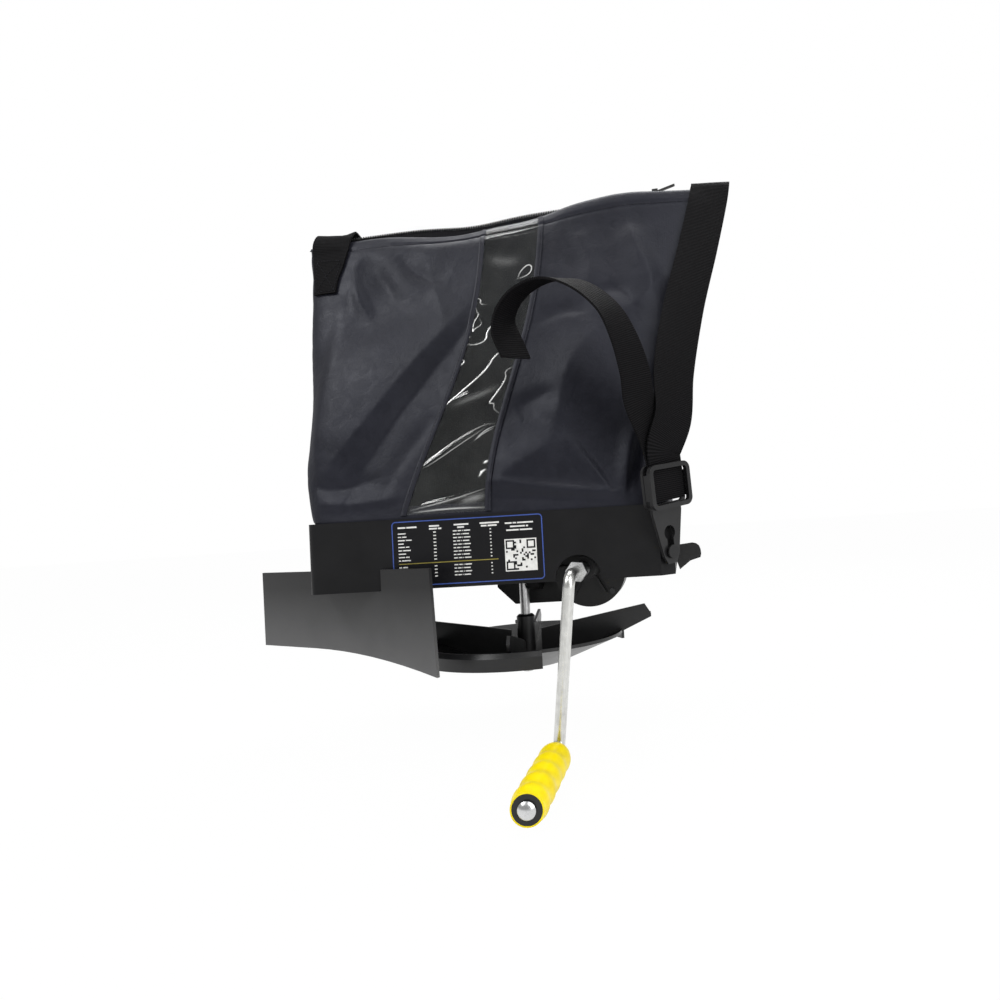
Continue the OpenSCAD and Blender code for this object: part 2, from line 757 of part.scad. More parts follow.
// Hanger: a tapered plate with a keyhole, carrying a ladder buckle whose front frame stands off the webbing
module strap_hanger() {
  corner = 7;
  mid_bar = 6;
  cheek_w = buckle_bar - 0.8;
  color("#18181b")
    at_stud()
      translate([0, hanger_off, 0]) rotate([-hanger_tilt, 0, 0]) rotate([90, 0, 0]) mirror([0, 0, 1])
        rotate([0, 0, hanger_lean]) {
          linear_extrude(hanger_t)
            difference() {
              union() {
                polygon([
                  [-hanger_w / 2, buckle_low + corner], [-hanger_w / 2, buckle_low - 4], [-9, -hanger_low + 7],
                  [-5, -hanger_low], [5, -hanger_low], [9, -hanger_low + 7], [hanger_w / 2, buckle_low - 4],
                  [hanger_w / 2, buckle_low + corner]
                ]);
                translate([0, buckle_low]) buckle_outline(0, corner);
              }
              translate([0, buckle_low])
                difference() {
                  buckle_outline(buckle_bar, corner - buckle_bar);
                  translate([0, buckle_h / 2]) square([buckle_w, mid_bar], center = true);
                }
              circle(stud_r + gap);
              translate([-stud_r - gap, 0]) square([2 * (stud_r + gap), key_rise]);
              translate([0, key_rise]) circle(stud_head_r + gap);
            }
          for (side = [-1, 1])
            translate([side * (buckle_w - buckle_bar) / 2 - cheek_w / 2, buckle_low + corner + 1, 1])
              cube([cheek_w, buckle_h - 2 * corner - 2, hanger_t + buckle_out + 1]);
          translate([0, buckle_low, hanger_t + buckle_out])
            linear_extrude(buckle_bar)
              difference() {
                buckle_outline(0, corner);
                buckle_outline(buckle_bar, corner - buckle_bar);
              }
        }
}

module strap_stud() {
  color("#7f8184")
    at_stud() {
      rod_y(stud_r - 1, -pan_wall - 2, 0.1);
      rod_y(stud_r, 0, stud_neck);
      rod_y(stud_head_r, stud_neck, stud_neck + 2);
    }
}

module gearbox_case() {
  color("#161618")
    difference() {
      union() {
        for (sag = [0, case_sag])
          translate([crank_x, 0, -sag]) rod_y(case_r, chamber_front, chamber_back + case_wall);
        translate([block_x0, -block_half, -block_half])
          cube([crank_x - chamber_r - block_x0 + 1, 2 * block_half, 2 * block_half]);
        rod_x(drum_r + case_wall, counter_gear_x - 1, block_x0 + 4);
        case_plate();
        translate([crank_x - 34, chamber_back, -14]) cube([32, plate_y - chamber_back + 1, 28]);
        translate([spinner_x + 14, plate_y - 6, 0]) cube([24, 8, floor_z - flange_t - 1]);
        translate([spinner_x, 0, shaft_boss_z]) cylinder(r = shaft_boss_r, h = shaft_boss_h);
        translate([spinner_x - 8, 0, floor_z - gap - 10]) cube([16, plate_y + 1, 10]);
        translate([plate_x0, plate_y - 16, floor_z - flange_t]) cube([crank_x - plate_x0 - 8, 16 + plate_t, flange_t]);
      }
      translate([crank_x, 0, 0]) rod_y(chamber_r, chamber_front - 1, chamber_back);
      rod_x(drum_r, counter_gear_x - 2, block_x0);
      rod_x(counter_r + run + bush_wall + fit, block_x0 - 1, crank_x - chamber_r + 4);
      translate([spinner_x, 0, -drum_r - case_wall - 1]) cylinder(r = spinner_pinion_r + gear_m + 1, h = shaft_boss_z + drum_r + case_wall + 0.8);
      translate([spinner_x, 0, shaft_boss_z - 1])
        cylinder(r = shaft_r + run + bush_wall + fit, h = shaft_boss_h + 2);
      case_screw_places() translate([0, 0, floor_z - flange_t - 1]) cylinder(r = 2 + fit, h = flange_t + 2);
      cover_screw_places() rod_y(1.5 + fit, chamber_front - 1, chamber_front + 9);
    }
}

// Mounting plate behind the spinner shaft, cut back at its lower corner
module case_plate() {
  translate([0, plate_y + plate_t, 0])
    rotate([90, 0, 0])
      linear_extrude(plate_t)
        polygon([
          [plate_x0, floor_z - gap], [plate_x0, -plate_drop + plate_chamfer],
          [plate_x0 + plate_chamfer, -plate_drop], [crank_x, -plate_drop], [crank_x, floor_z - gap]
        ]);
}

module case_screw_places() {
  for (x = [plate_x0 + 8, crank_x - 23])
    translate([x, plate_y - 9, 0]) children();
}

module case_screws() {
  color("#8d8d90")
    case_screw_places()
      translate([0, 0, floor_z - flange_t]) pan_screw(2, 3.8, 2.2, flange_t + floor_t);
}

module cover_screw_places() {
  for (a = [50, 130, 230, 310])
    translate([crank_x + (chamber_r + case_wall / 2) * cos(a), 0, (chamber_r + case_wall / 2) * sin(a)]) children();
}

module gearbox_cover() {
  color("#1a1a1c")
    difference() {
      union() {
        for (sag = [0, case_sag])
          translate([crank_x, 0, -sag]) rod_y(case_r, chamber_front - cover_t, chamber_front);
        translate([crank_x, 0, 0]) rod_y(boss_r, bearing_front, chamber_front - cover_t + 0.5);
        for (a = [0 : 60 : 300])
          translate([crank_x, 0, 0]) rotate([0, a, 0])
            translate([boss_r - 1, chamber_front - cover_t - 5, -1]) cube([case_r - boss_r - 3, 5.5, 2]);
        cover_screw_places() rod_y(3, chamber_front - cover_t, chamber_front);
      }
      translate([crank_x, 0, 0]) rod_y(crank_shaft_r + run + bush_wall + fit, bearing_front - 1, chamber_front + 1);
      cover_screw_places() rod_y(1.5 + fit, chamber_front - cover_t - 1, chamber_front + 1);
    }
}

module cover_screws() {
  color("#8d8d90")
    cover_screw_places() {
      rod_y(1.5, chamber_front - cover_t, chamber_front + 8);
      rod_y(2.8, chamber_front - cover_t - 1.6, chamber_front - cover_t);
    }
}

module crank_bush() {
  color("#b08d57")
    translate([crank_x, bearing_front, 0]) rotate([-90, 0, 0]) bush(crank_shaft_r, chamber_front - bearing_front);
}

module counter_bush() {
  color("#b08d57")
    translate([block_x0, 0, 0]) rotate([0, 90, 0]) bush(counter_r, block_x1 - block_x0);
}

module shaft_bush() {
  color("#b08d57")
    translate([spinner_x, 0, shaft_boss_z]) bush(shaft_r, shaft_boss_h);
}

// Frame of the crank, hanging from its axis
module on_crank() {
  translate([crank_x, 0, 0]) rotate([0, crank_rest, 0]) children();
}

// Quarter bend of the crank rod in the YZ plane
module rod_elbow(turn) {
  rotate([turn, 0, 0]) rotate([0, 90, 0])
    rotate_extrude(angle = 90) translate([rod_bend, 0]) circle(rod_r);
}

module crank_rod() {
  low_z = -crank_arm;
  color("#b9babd")
    on_crank() {
      rod_y(rod_r, arm_y + rod_bend, crank_shaft_y0 + rod_in - 1);
      translate([0, arm_y + rod_bend, -rod_bend]) rod_elbow(180);
      translate([0, arm_y, low_z + rod_bend]) cylinder(r = rod_r, h = crank_arm - 2 * rod_bend);
      translate([0, arm_y - rod_bend, low_z + rod_bend]) rod_elbow(0);
      translate([0, 0, low_z]) rod_y(rod_r, rod_end_y, arm_y - rod_bend);
    }
}

module crank_nut() {
  color("#c4c5c8")
    on_crank()
      difference() {
        translate([0, nut_y, 0]) rotate([-90, 0, 0]) cylinder(r = nut_flats / 2 / cos(30), h = nut_t, $fn = 6);
        rod_y(rod_r + fit, nut_y - 1, nut_y + nut_t + 1);
      }
}

module crank_shaft() {
  color("#9a9b9e")
    translate([crank_x, 0, 0])
      difference() {
        rod_y(crank_shaft_r, crank_shaft_y0, crank_shaft_y1);
        rod_y(rod_r + fit, crank_shaft_y0 - 1, crank_shaft_y0 + rod_in);
      }
}

module crank_gear() {
  color("#d8d4c6")
    translate([crank_x, crank_gear_y, 0]) rotate([-90, 0, 0]) crown_gear(crank_teeth, crank_shaft_r + fit);
}

module rod_cap() {
  cap_t = 4;
  color("#c9cacd")
    on_crank()
      translate([0, grip_y0 - gap, -crank_arm])
        difference() {
          intersection() {
            rod_y(cap_r, -cap_t, 0);
            translate([0, 4, 0]) sphere(r = 8);
          }
          rod_y(rod_r + fit, -1.2, 1);
        }
}

// Half outline of the grip: swells along its length, with a round far end
module grip() {
  steps = 16;
  swell = grip_len / grip_swells;
  bore = rod_r + run;
  round_end = 4;
  outline = [
    for (k = [0 : grip_swells * steps])
      let (
        y = k * swell / steps,
        wave = (1 + cos(360 * k / steps)) / 2,
        end = max(0, y - grip_len + round_end)
      )
      [grip_r - grip_groove * wave - (round_end - sqrt(round_end * round_end - end * end)), y]
  ];
  color("#f2e205")
    on_crank()
      translate([0, grip_y0, -crank_arm])
        rotate([-90, 0, 0])
          difference() {
            rotate_extrude() polygon(concat([[0, 0]], outline, [[0, grip_len]]));
            translate([0, 0, -1]) cylinder(r = bore, h = grip_len + 2);
            translate([0, 0, -1]) cylinder(r = plug_r + fit, h = plug_t + 1);
          }
}

module grip_plug() {
  color("#1a1a1c")
    on_crank()
      translate([0, grip_y0, -crank_arm])
        difference() {
          rod_y(plug_r, 0, plug_t - 0.2);
          rod_y(rod_r + run, -1, plug_t + 1);
        }
}

module countershaft() {
  color("#9a9b9e") rod_x(counter_r, counter_gear_x + crown_ded + 0.2, counter_pinion_x + pinion_w / 2);
}

module counter_pinion() {
  color("#d8d4c6")
    translate([counter_pinion_x - pinion_w / 2, 0, 0])
      rotate([0, 90, 0])
        linear_extrude(pinion_w)
          difference() {
            spur_outline(counter_pinion_teeth, gear_m);
            circle(counter_r + fit);
          }
}

module counter_gear() {
  color("#d8d4c6")
    translate([counter_gear_x, 0, 0]) rotate([0, -90, 0]) crown_gear(counter_teeth, counter_r + fit);
}

module spinner_shaft() {
  color("#a9aaad")
    difference() {
      translate([spinner_x, 0, shaft_low]) cylinder(r = shaft_r, h = shaft_high - shaft_low);
      translate([spinner_x, 0, hub_top - 7]) rotate([0, 0, blade_turn]) rod_x(1.5 + fit, -20, 20);
      translate([spinner_x, 0, shaft_high - 5]) rod_y(1.75 + fit, -20, 20);
    }
}

module spinner_pinion() {
  color("#d8d4c6")
    translate([spinner_x, 0, counter_pitch_r - pinion_w / 2])
      rotate([0, 0, 180 / spinner_pinion_teeth])
        linear_extrude(pinion_w)
          difference() {
            spur_outline(spinner_pinion_teeth, gear_m);
            circle(shaft_r + fit);
          }
}

// One moulded spinner: a dish with a tall hub, and upswept blades that stand past its rim
module spinner() {
  slope = (rim_z - dish_z) / (dish_r - dish_flat_r);
  color("#1b1b1d")
    translate([spinner_x, 0, 0])
      difference() {
        union() {
          rotate_extrude()
            polygon([
              [0, dish_z], [dish_flat_r, dish_z], [dish_r, rim_z - spinner_wall], [dish_r, rim_z],
              [dish_flat_r - 1, dish_z + spinner_wall], [hub_r + 3, dish_z + spinner_wall],
              [hub_r, dish_z + spinner_wall + 6], [hub_r, hub_top - 2], [hub_r - 2, hub_top], [0, hub_top]
            ]);
          for (k = [0 : blade_count - 1])
            rotate([0, 0, blade_turn + k * 360 / blade_count])
              if (k % 2 == 0) blade(slope); else fin();
          for (side = [0, 180])
            rotate([0, 0, lip_start + side])
              rotate_extrude(angle = lip_sweep)
                polygon([
                  [dish_r - 5, rim_z - 5], [dish_r - 2, rim_z - 1], [dish_r + 5, rim_z], [dish_r + 8, rim_z - 4],
                  [dish_r + 8, rim_z - lip_h], [dish_r + 5, rim_z - lip_h], [dish_r + 5, rim_z - 4]
                ]);
        }
        translate([0, 0, dish_z - 1]) cylinder(r = shaft_r + fit, h = hub_top - dish_z + 2);
        translate([0, 0, hub_top - 7]) rotate([0, 0, blade_turn]) rod_x(1.5 + fit, -20, 20);
      }
}

module blade(slope) {
  root = hub_r + 6;
  rotate([90, 0, 0])
    translate([0, 0, -spinner_wall / 2])
      linear_extrude(spinner_wall)
        polygon([
          [root, dish_z + spinner_wall / 2], [root, rim_z + 6], [dish_flat_r, rim_z + blade_h * 0.55],
          [blade_r - 6, rim_z + blade_rise + 10], [blade_r, rim_z + blade_rise],
          [dish_r, rim_z - spinner_wall / 2], [dish_flat_r, dish_z + spinner_wall / 2]
        ]);
  rotate([90, 0, 0])
    translate([0, 0, spinner_wall / 2 - blade_floor_w])
      linear_extrude(blade_floor_w)
        polygon([
          [dish_r - 6, rim_z - spinner_wall - 6 * slope + 1], [blade_r, rim_z + blade_rise - spinner_wall],
          [blade_r, rim_z + blade_rise], [dish_r - 6, rim_z - 6 * slope + 0.5]
        ]);
}

// Short upright fin between two blades
module fin() {
  root = hub_r + 6;
  rotate([90, 0, 0])
    translate([0, 0, -spinner_wall / 2])
      linear_extrude(spinner_wall)
        polygon([
          [root, dish_z + spinner_wall / 2], [root, rim_z - 4], [dish_flat_r, rim_z + 2],
          [fin_r - 5, rim_z + blade_h * 0.8], [fin_r, rim_z + blade_h * 0.4],
          [dish_r, rim_z - spinner_wall / 2], [dish_flat_r, dish_z + spinner_wall / 2]
        ]);
}

module spinner_nut() {
  color("#c4c5c8")
    translate([spinner_x, 0, dish_z - 6.2])
      difference() {
        cylinder(r = 8, h = 6, $fn = 6);
        translate([0, 0, -1]) cylinder(r = shaft_r + fit, h = 8);
      }
}

module spinner_pin() {
  color("#c4c5c8")
    translate([spinner_x, 0, hub_top - 7]) rotate([0, 0, blade_turn]) rod_x(1.5, -hub_r - 1.5, hub_r + 1.5);
}

module agitator() {
  color("#a9aaad")
    translate([spinner_x, 0, shaft_high - 5]) {
      rod_y(1.75, -26, 26);
      for (side = [-1, 1])
        translate([0, side * 24.25, 0]) cylinder(r = 1.75, h = 22);
    }
}

// Gate: a plate with a window, a web that carries the dial rack, and a finger tab outside the pan
module gate() {
  tab_x = pan_len + tab_len;
  rack_root = rack_z + rack_ded;
  pitch = PI * rack_m;
  rack_teeth = ceil((gate_travel + 14) / pitch);
  color("#202023") {
    difference() {
      translate([gate_x0, gate_y0, gate_z]) cube([gate_x1 - gate_x0, gate_w, gate_t]);
      translate([port_x - gate_travel, port_y, gate_z - 1]) cube([port_len, port_w, gate_t + 2]);
    }
    translate([0, web_y + web_t, 0]) rotate([90, 0, 0]) linear_extrude(web_t) {
      polygon([
        [dial_x - gate_travel - 14, gate_z + 0.5], [gate_x1, gate_z + 0.5], [gate_x1, slot_top - 2],
        [pan_len + 3, slot_top - 2], [tab_x - 9, slot_top - 0.6], [tab_x - 5, slot_top - 1.6],
        [tab_x - 2, slot_top - 4], [tab_x - 0.4, slot_top - 8], [tab_x, slot_top - 13], [tab_x - 1, slot_top - 17],
        [tab_x - 12, -5], [pan_len + 3, -14],
        [pan_len + 0.5, -6], [258, -6], [246, rack_root], [dial_x - gate_travel - 14, rack_root]
      ]);
      for (k = [-rack_teeth + 3 : 2])
        translate([dial_x + k * pitch, rack_z]) mirror([0, 1]) rack_tooth(rack_m, rack_add, rack_ded + 0.4);
    }
  }
}

module dial_shaft() {
  color("#d8d4c6")
    translate([dial_x, 0, dial_z]) {
      rod_y(dial_shaft_r, web_y - 2, back_y + 4);
      translate([0, web_y - 0.5, 0]) rotate([-90, 0, 0]) linear_extrude(web_t + 1) spur_outline(dial_teeth, rack_m);
    }
}

module dial_knob() {
  color("#2a2a2d")
    translate([dial_x, back_y + gap, dial_z])
      difference() {
        union() {
          rod_y(dial_r, 0, dial_t * 0.4);
          rod_y(dial_r * 0.62, 0, dial_t);
        }
        rod_y(dial_shaft_r + fit, -1, 4 - gap);
        for (a = [0 : 30 : 330])
          rotate([0, a, 0]) translate([dial_r * 0.62 + 1, 0, 0]) rod_y(2.2, dial_t * 0.4 + 0.6, dial_t + 1);
      }
}

// Deflector plate set askew across a corner of the pan: it is pushed up over the front wall and the belly
// face with two open slots, and its lower edge sweeps down towards the throw
module deflector() {
  steps = 8;
  wall_slot = pan_wall / sin(deflector_yaw) + deflector_t / tan(deflector_yaw) + 2 * gap;
  face_slot = pan_wall / cos(deflector_yaw) + deflector_t * tan(deflector_yaw) + 2 * gap;
  face_s = -(deflector_cross - pan_wall / 2) / cos(deflector_yaw);
  slot_h = deflector_top - pan_z0;
  color("#222326")
    translate([deflector_cross, front_y + pan_wall / 2, 0])
      rotate([0, 0, -deflector_yaw])
        translate([0, deflector_t / 2, 0])
          rotate([90, 0, 0])
            linear_extrude(deflector_t)
              difference() {
                polygon([
                  [-deflector_left, deflector_top], [-deflector_left + 1, -deflector_drop_low],
                  for (k = [0 : steps])
                    let (u = k / steps)
                      [-deflector_flat + u * (deflector_right + deflector_flat + 4),
                       -deflector_drop_low - (deflector_drop - deflector_drop_low) * u * u],
                  [deflector_right, deflector_top]
                ]);
                translate([-wall_slot / 2, pan_z0]) square([wall_slot, slot_h + 1]);
                translate([face_s - face_slot / 2, pan_z0]) square([face_slot, slot_h + 1]);
              }
}

hopper_pan();
bag_frame();
bag();
bag_window();
zipper_chain();
zipper_slider();
zipper_pull();
shoulder_strap();
strap_tail();
strap_hanger();
strap_stud();
gearbox_case();
gearbox_cover();
cover_screws();
case_screws();
crank_bush();
counter_bush();
shaft_bush();
crank_rod();
crank_nut();
crank_shaft();
crank_gear();
rod_cap();
grip();
grip_plug();
countershaft();
counter_pinion();
counter_gear();
spinner_shaft();
spinner_pinion();
spinner();
spinner_nut();
spinner_pin();
agitator();
gate();
dial_shaft();
dial_knob();
deflector();
frame_screws();
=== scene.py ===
import math

import bpy
import numpy as np
from mathutils import Matrix, Vector, noise


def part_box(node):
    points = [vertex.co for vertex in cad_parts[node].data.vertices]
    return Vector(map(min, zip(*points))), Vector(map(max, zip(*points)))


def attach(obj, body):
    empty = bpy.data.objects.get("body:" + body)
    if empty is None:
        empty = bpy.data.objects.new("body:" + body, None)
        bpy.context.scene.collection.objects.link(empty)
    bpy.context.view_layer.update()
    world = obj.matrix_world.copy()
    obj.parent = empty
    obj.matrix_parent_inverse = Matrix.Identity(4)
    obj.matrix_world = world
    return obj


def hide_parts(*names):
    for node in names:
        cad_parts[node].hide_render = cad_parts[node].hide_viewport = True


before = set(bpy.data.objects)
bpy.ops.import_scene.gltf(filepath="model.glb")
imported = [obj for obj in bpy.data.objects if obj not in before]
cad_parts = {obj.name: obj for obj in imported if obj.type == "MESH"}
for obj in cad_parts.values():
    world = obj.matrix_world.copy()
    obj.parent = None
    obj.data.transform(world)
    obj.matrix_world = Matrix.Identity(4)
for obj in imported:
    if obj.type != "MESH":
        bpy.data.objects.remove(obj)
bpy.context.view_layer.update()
scene = bpy.context.scene
scene.view_settings.view_transform = "Standard"

# Camera at the photograph's place, in metres and radians.
CAMERA_AT = (0.3319, -0.6843, 0.0358)
CAMERA_YAW, CAMERA_PITCH, CAMERA_ROLL = 0.0440, 0.0365, 0.0594
CAMERA_LENS, CAMERA_SHIFT = 24.796, -0.15
FLOOR_Z = -0.1515

MM = 0.001

# Bag, in millimetres from the pan's left face, its middle and the crank's axis.
BAG_FOOT = 54.0
BAG_HEIGHT = 300.0
BAG_TOP_X, BAG_TOP_W, BAG_TOP_RISE = 178.0, 420.0, 26.0
BAG_GRID = (340, 138)
CLOTH_T = 0.9
HEM_DROP = 12.0
# Shares of the bag's rows: the lowest go down inside the rim, the highest turn in over the zipper tape.
RIM_ROWS, WALL_ROWS, TURN_FROM = 0.015, 0.965, 0.982
RIM_DEPTH, TURN_DEPTH, TURN_IN = 5.0, 3.0, 1.6
# From this share of the height up, the cloth follows its wavy top edge and leans out where that rises.
TOP_FROM, TOP_LEAN = 0.9, 0.35

# Window in the bag's front, in millimetres: film, opening and bindings.
WINDOW_LOW, WINDOW_HIGH, WINDOW_LAP, WINDOW_T = 57.0, 340.0, 3.0, 0.4
WINDOW_GRID = (110, 420)
OPENING_LOW, OPENING_LAP = 66.0, 2.0
BINDING_W, BINDING_LAP, BINDING_LEN, BINDING_T = 5.0, 2.2, 284.0, 0.6
# How far these lie out from the cloth: film, bindings, and the stitches of hem, bindings and strap.
WINDOW_OUT, BINDING_OUT, HEM_OUT, EDGE_OUT, BOX_OUT = 0.5, 0.95, 0.35, 1.75, 2.95

# Cuts of the sheets in metres: both narrow towards the zipper.
BAG_CUT, BAG_CUT_AREA = (1.0, 0.34), 0.27
WINDOW_CUT, WINDOW_CUT_AREA = (0.075, 0.29), 0.0199

# Zipper and straps, in millimetres.
ZIP_LEAN = math.atan(BAG_TOP_RISE / BAG_TOP_W)
ZIP_LEN = 396.0
ZIP_TAPE_W, ZIP_TAPE_T = 9.0, 0.6
TOOTH_PITCH, TOOTH_SIZE = 2.5, (1.5, 3.0, 2.6)
STRAP_W = 38.0
STRAP_T = 1.8
SEWN_W = 25.0
BESIDE_STRAP = (318, 345)

# Label on the pan's front wall, in millimetres.
LABEL_LEFT, LABEL_RIGHT, LABEL_LOW, LABEL_HIGH = 77.5, 211.0, -5.0, 51.8
LABEL_FACE, LABEL_T, PRINT_FACE, PRINT_T, PRINT_LAYER = -90.1, 0.25, -90.45, 0.08, 0.12
LABEL_CORNER, LABEL_BORDER = 3.5, 0.9


# Hand tools

def pick_up(piece):
    bpy.ops.object.select_all(action="DESELECT")
    piece.select_set(True)
    bpy.context.view_layer.objects.active = piece


def named(name):
    piece = bpy.context.object
    piece.name = name
    piece.data.name = name
    return piece


def put_in(name, data):
    piece = bpy.data.objects.new(name, data)
    scene.collection.objects.link(piece)
    return piece


def fix_place(piece):
    pick_up(piece)
    bpy.ops.object.transform_apply(location=True, rotation=True, scale=True)
    return piece


def cover(piece, finish):
    piece.data.materials.append(finish)
    return piece


def work(piece, kind, **settings):
    pick_up(piece)
    step = piece.modifiers.new(kind.title(), kind)
    for key, value in settings.items():
        setattr(step, key, value)
    bpy.ops.object.modifier_apply(modifier=step.name)
    return piece


def smooth(piece, angle):
    pick_up(piece)
    bpy.ops.object.shade_smooth_by_angle(angle=math.radians(angle))
    return piece


def edit(piece, mode="FACE"):
    pick_up(piece)
    bpy.ops.object.mode_set(mode="EDIT")
    bpy.ops.mesh.select_mode(type=mode)
    bpy.ops.mesh.select_all(action="DESELECT")


def choose_all():
    bpy.ops.mesh.select_all(action="SELECT")


def leave():
    bpy.ops.object.mode_set(mode="OBJECT")


def choose_faces(piece, test):
    edit(piece)
    leave()
    for face in piece.data.polygons:
        face.select = bool(test(face))
    bpy.ops.object.mode_set(mode="EDIT")


def join(name, pieces):
    pick_up(pieces[0])
    for piece in pieces[1:]:
        piece.select_set(True)
    bpy.ops.object.join()
    return named(name)


def cloth_grid(name, across, along):
    bpy.ops.mesh.primitive_grid_add(x_subdivisions=across, y_subdivisions=along, size=2)
    piece = named(name)
    flat = np.empty(len(piece.data.vertices) * 3)
    piece.data.vertices.foreach_get("co", flat)
    flat = flat.reshape(-1, 3)
    return piece, (flat[:, 0] + 1) / 2, (flat[:, 1] + 1) / 2


def lay(piece, x, y, z):
    """Moves the grid's points to places given in millimetres."""
    spots = np.stack([x, y, z], 1) * MM
    piece.data.vertices.foreach_set("co", spots.ravel())
    piece.data.update()


def size_uv(piece, width, length):
    """Makes the UV map real metres, so that a weave has one scale."""
    loops = piece.data.uv_layers.active.data
    spots = np.empty(len(loops) * 2)
    loops.foreach_get("uv", spots)
    spots = spots.reshape(-1, 2) * (width, length)
    loops.foreach_set("uv", spots.ravel())


def outward(piece):
    edit(piece)
    choose_all()
    bpy.ops.mesh.normals_make_consistent(inside=False)
    leave()


def thicken(piece, thick, angle):
    """Gives a sheet its thickness, half to either side, and smooths it."""
    outward(piece)
    work(piece, "SOLIDIFY", thickness=thick * MM, offset=0.0)
    return smooth(piece, angle)


def wall_plate(name, x, y, z, wide, high):
    """Upright plate that faces the front, placed and sized in millimetres."""
    bpy.ops.mesh.primitive_plane_add(size=1, location=(x * MM, y * MM, z * MM), rotation=(math.pi / 2, 0, 0))
    plate = named(name)
    plate.scale = (wide * MM, high * MM, 1)
    return fix_place(plate)


def walked(line):
    """How far along a line of points each of them lies."""
    steps = np.linalg.norm(np.diff(line, axis=0), axis=1)
    return np.concatenate([[0], np.cumsum(steps)])


def along_line(line, done, at):
    """Places at some distances along a line of points."""
    return np.stack([np.interp(at, done, column) for column in line.T], 1)


# Finishes

# Most of a noise's values lie between these two; the wave node has this scale for a period of one.
MIDDLE = (0.3, 0.7)
WAVE_SCALE = 0.314159
# Places of a colour Mix node's sockets.
MIX_SHARE, MIX_FIRST, MIX_SECOND, MIX_RESULT = 0, 6, 7, 2
# Pale grey painted into the lower part of a colour, as painted light thrown up from the floor.
BOUNCE_LIGHT_GREY = (0.13, 0.13, 0.132, 1.0)


def set_up(node, settings):
    for socket, value in settings.items():
        node.inputs[socket].default_value = value


def add_node(near, kind):
    """New shader node in the tree that a node or socket belongs to."""
    return near.id_data.nodes.new("ShaderNode" + kind)


def wire(value, node, socket):
    value.id_data.links.new(value, node.inputs[socket])


def new_finish(name, settings):
    finish = bpy.data.materials.new(name)
    finish.use_nodes = True
    skin = finish.node_tree.nodes["Principled BSDF"]
    set_up(skin, settings)
    return finish, skin


def coat(skin, colour, rough):
    wire(colour, skin, "Base Color")
    wire(rough, skin, "Roughness")


def places(skin, kind="Object", scale=(1, 1, 1), turn=(0, 0, 0)):
    mapping = add_node(skin, "Mapping")
    set_up(mapping, {"Scale": scale, "Rotation": turn})
    wire(add_node(skin, "TexCoord").outputs[kind], mapping, "Vector")
    return mapping.outputs["Vector"]


def cloudy(where, size, detail=4.0, rough=0.55, twist=0.0):
    spots = add_node(where, "TexNoise")
    set_up(spots, {"Scale": 1.0 / size, "Detail": detail, "Roughness": rough, "Distortion": twist})
    wire(where, spots, "Vector")
    return spots.outputs["Fac"]


def ribs(where, period, axis, twist):
    bands = add_node(where, "TexWave")
    bands.wave_type = "BANDS"
    bands.bands_direction = axis
    bands.wave_profile = "SIN"
    set_up(bands, {"Scale": WAVE_SCALE / period, "Distortion": twist})
    wire(where, bands, "Vector")
    return bands.outputs["Fac"]


def span(value, low, high, from_low=0.0, from_high=1.0):
    node = add_node(value, "MapRange")
    set_up(node, {"From Min": from_low, "From Max": from_high, "To Min": low, "To Max": high})
    wire(value, node, "Value")
    return node.outputs["Result"]


def tones(value, *stops):
    ramp = add_node(value, "ValToRGB")
    band = ramp.color_ramp
    while len(band.elements) < len(stops):
        band.elements.new(0.5)
    for element, (at, colour) in zip(band.elements, stops):
        element.position = at
        element.color = (*colour, 1.0)
    wire(value, ramp, "Fac")
    return ramp.outputs["Color"]


def both(first, second, way="MULTIPLY"):
    node = add_node(first, "Math")
    node.operation = way
    wire(first, node, 0)
    if isinstance(second, (int, float)):
        node.inputs[1].default_value = second
    else:
        wire(second, node, 1)
    return node.outputs["Value"]


def blend(first, share, second):
    return both(both(first, share), both(second, 1 - share), "ADD")


def relief(skin, height, depth, strength, under=None):
    bump = add_node(skin, "Bump")
    set_up(bump, {"Strength": strength, "Distance": depth})
    wire(height, bump, "Height")
    if under is not None:
        wire(under, bump, "Normal")
    wire(bump.outputs["Normal"], skin, "Normal")
    return bump.outputs["Normal"]


def painted_bounce_light(colour, where, broad, levels):
    """Painted light from the bright floor below: the colour is paled towards grey, most at the lower of two
    levels and not at all at the upper one.
    """
    height = add_node(where, "SeparateXYZ")
    wire(where, height, "Vector")
    fall = both(span(height.outputs["Z"], 1.0, 0.0, *levels),
                span(broad, 0.7, 1.0, *MIDDLE))
    mix = add_node(where, "Mix")
    mix.data_type = "RGBA"
    mix.inputs[MIX_SECOND].default_value = BOUNCE_LIGHT_GREY
    wire(fall, mix, MIX_SHARE)
    wire(colour, mix, MIX_FIRST)
    return mix.outputs[MIX_RESULT]


def moulded_plastic(name, dark, light, rough_low, rough_high, grain=0.0007, scuff=0.35, gloss=0.3, bounce_levels=None):
    """Satin moulded plastic: spark grain, faint sink marks, scuffs that run lengthwise."""
    finish, skin = new_finish(name, {"Specular IOR Level": gloss})
    where = places(skin)
    broad = cloudy(where, 0.06, 3)
    fine = cloudy(where, grain, 2, 0.6)
    scuffs = cloudy(places(skin, scale=(1, 1, 9), turn=(0.1, 0.25, 0.4)), 0.012, 6, 0.7)
    worn = span(scuffs, 0.0, 1.0, 0.62, 0.8)
    mixed = both(broad, span(worn, 0.0, scuff), "ADD")
    colour = tones(mixed, (0.3, dark), (0.85, light))
    # Painted light: where levels are given, the lower part is painted paler, as if lit from the floor below.
    if bounce_levels:
        colour = painted_bounce_light(colour, where, broad, bounce_levels)
    dull = both(span(broad, rough_low, rough_high, *MIDDLE), span(worn, 0.0, 0.12), "ADD")
    coat(skin, colour, dull)
    grainy = relief(skin, fine, 0.00006, 0.5)
    relief(skin, broad, 0.0006, 0.35, grainy)
    return finish


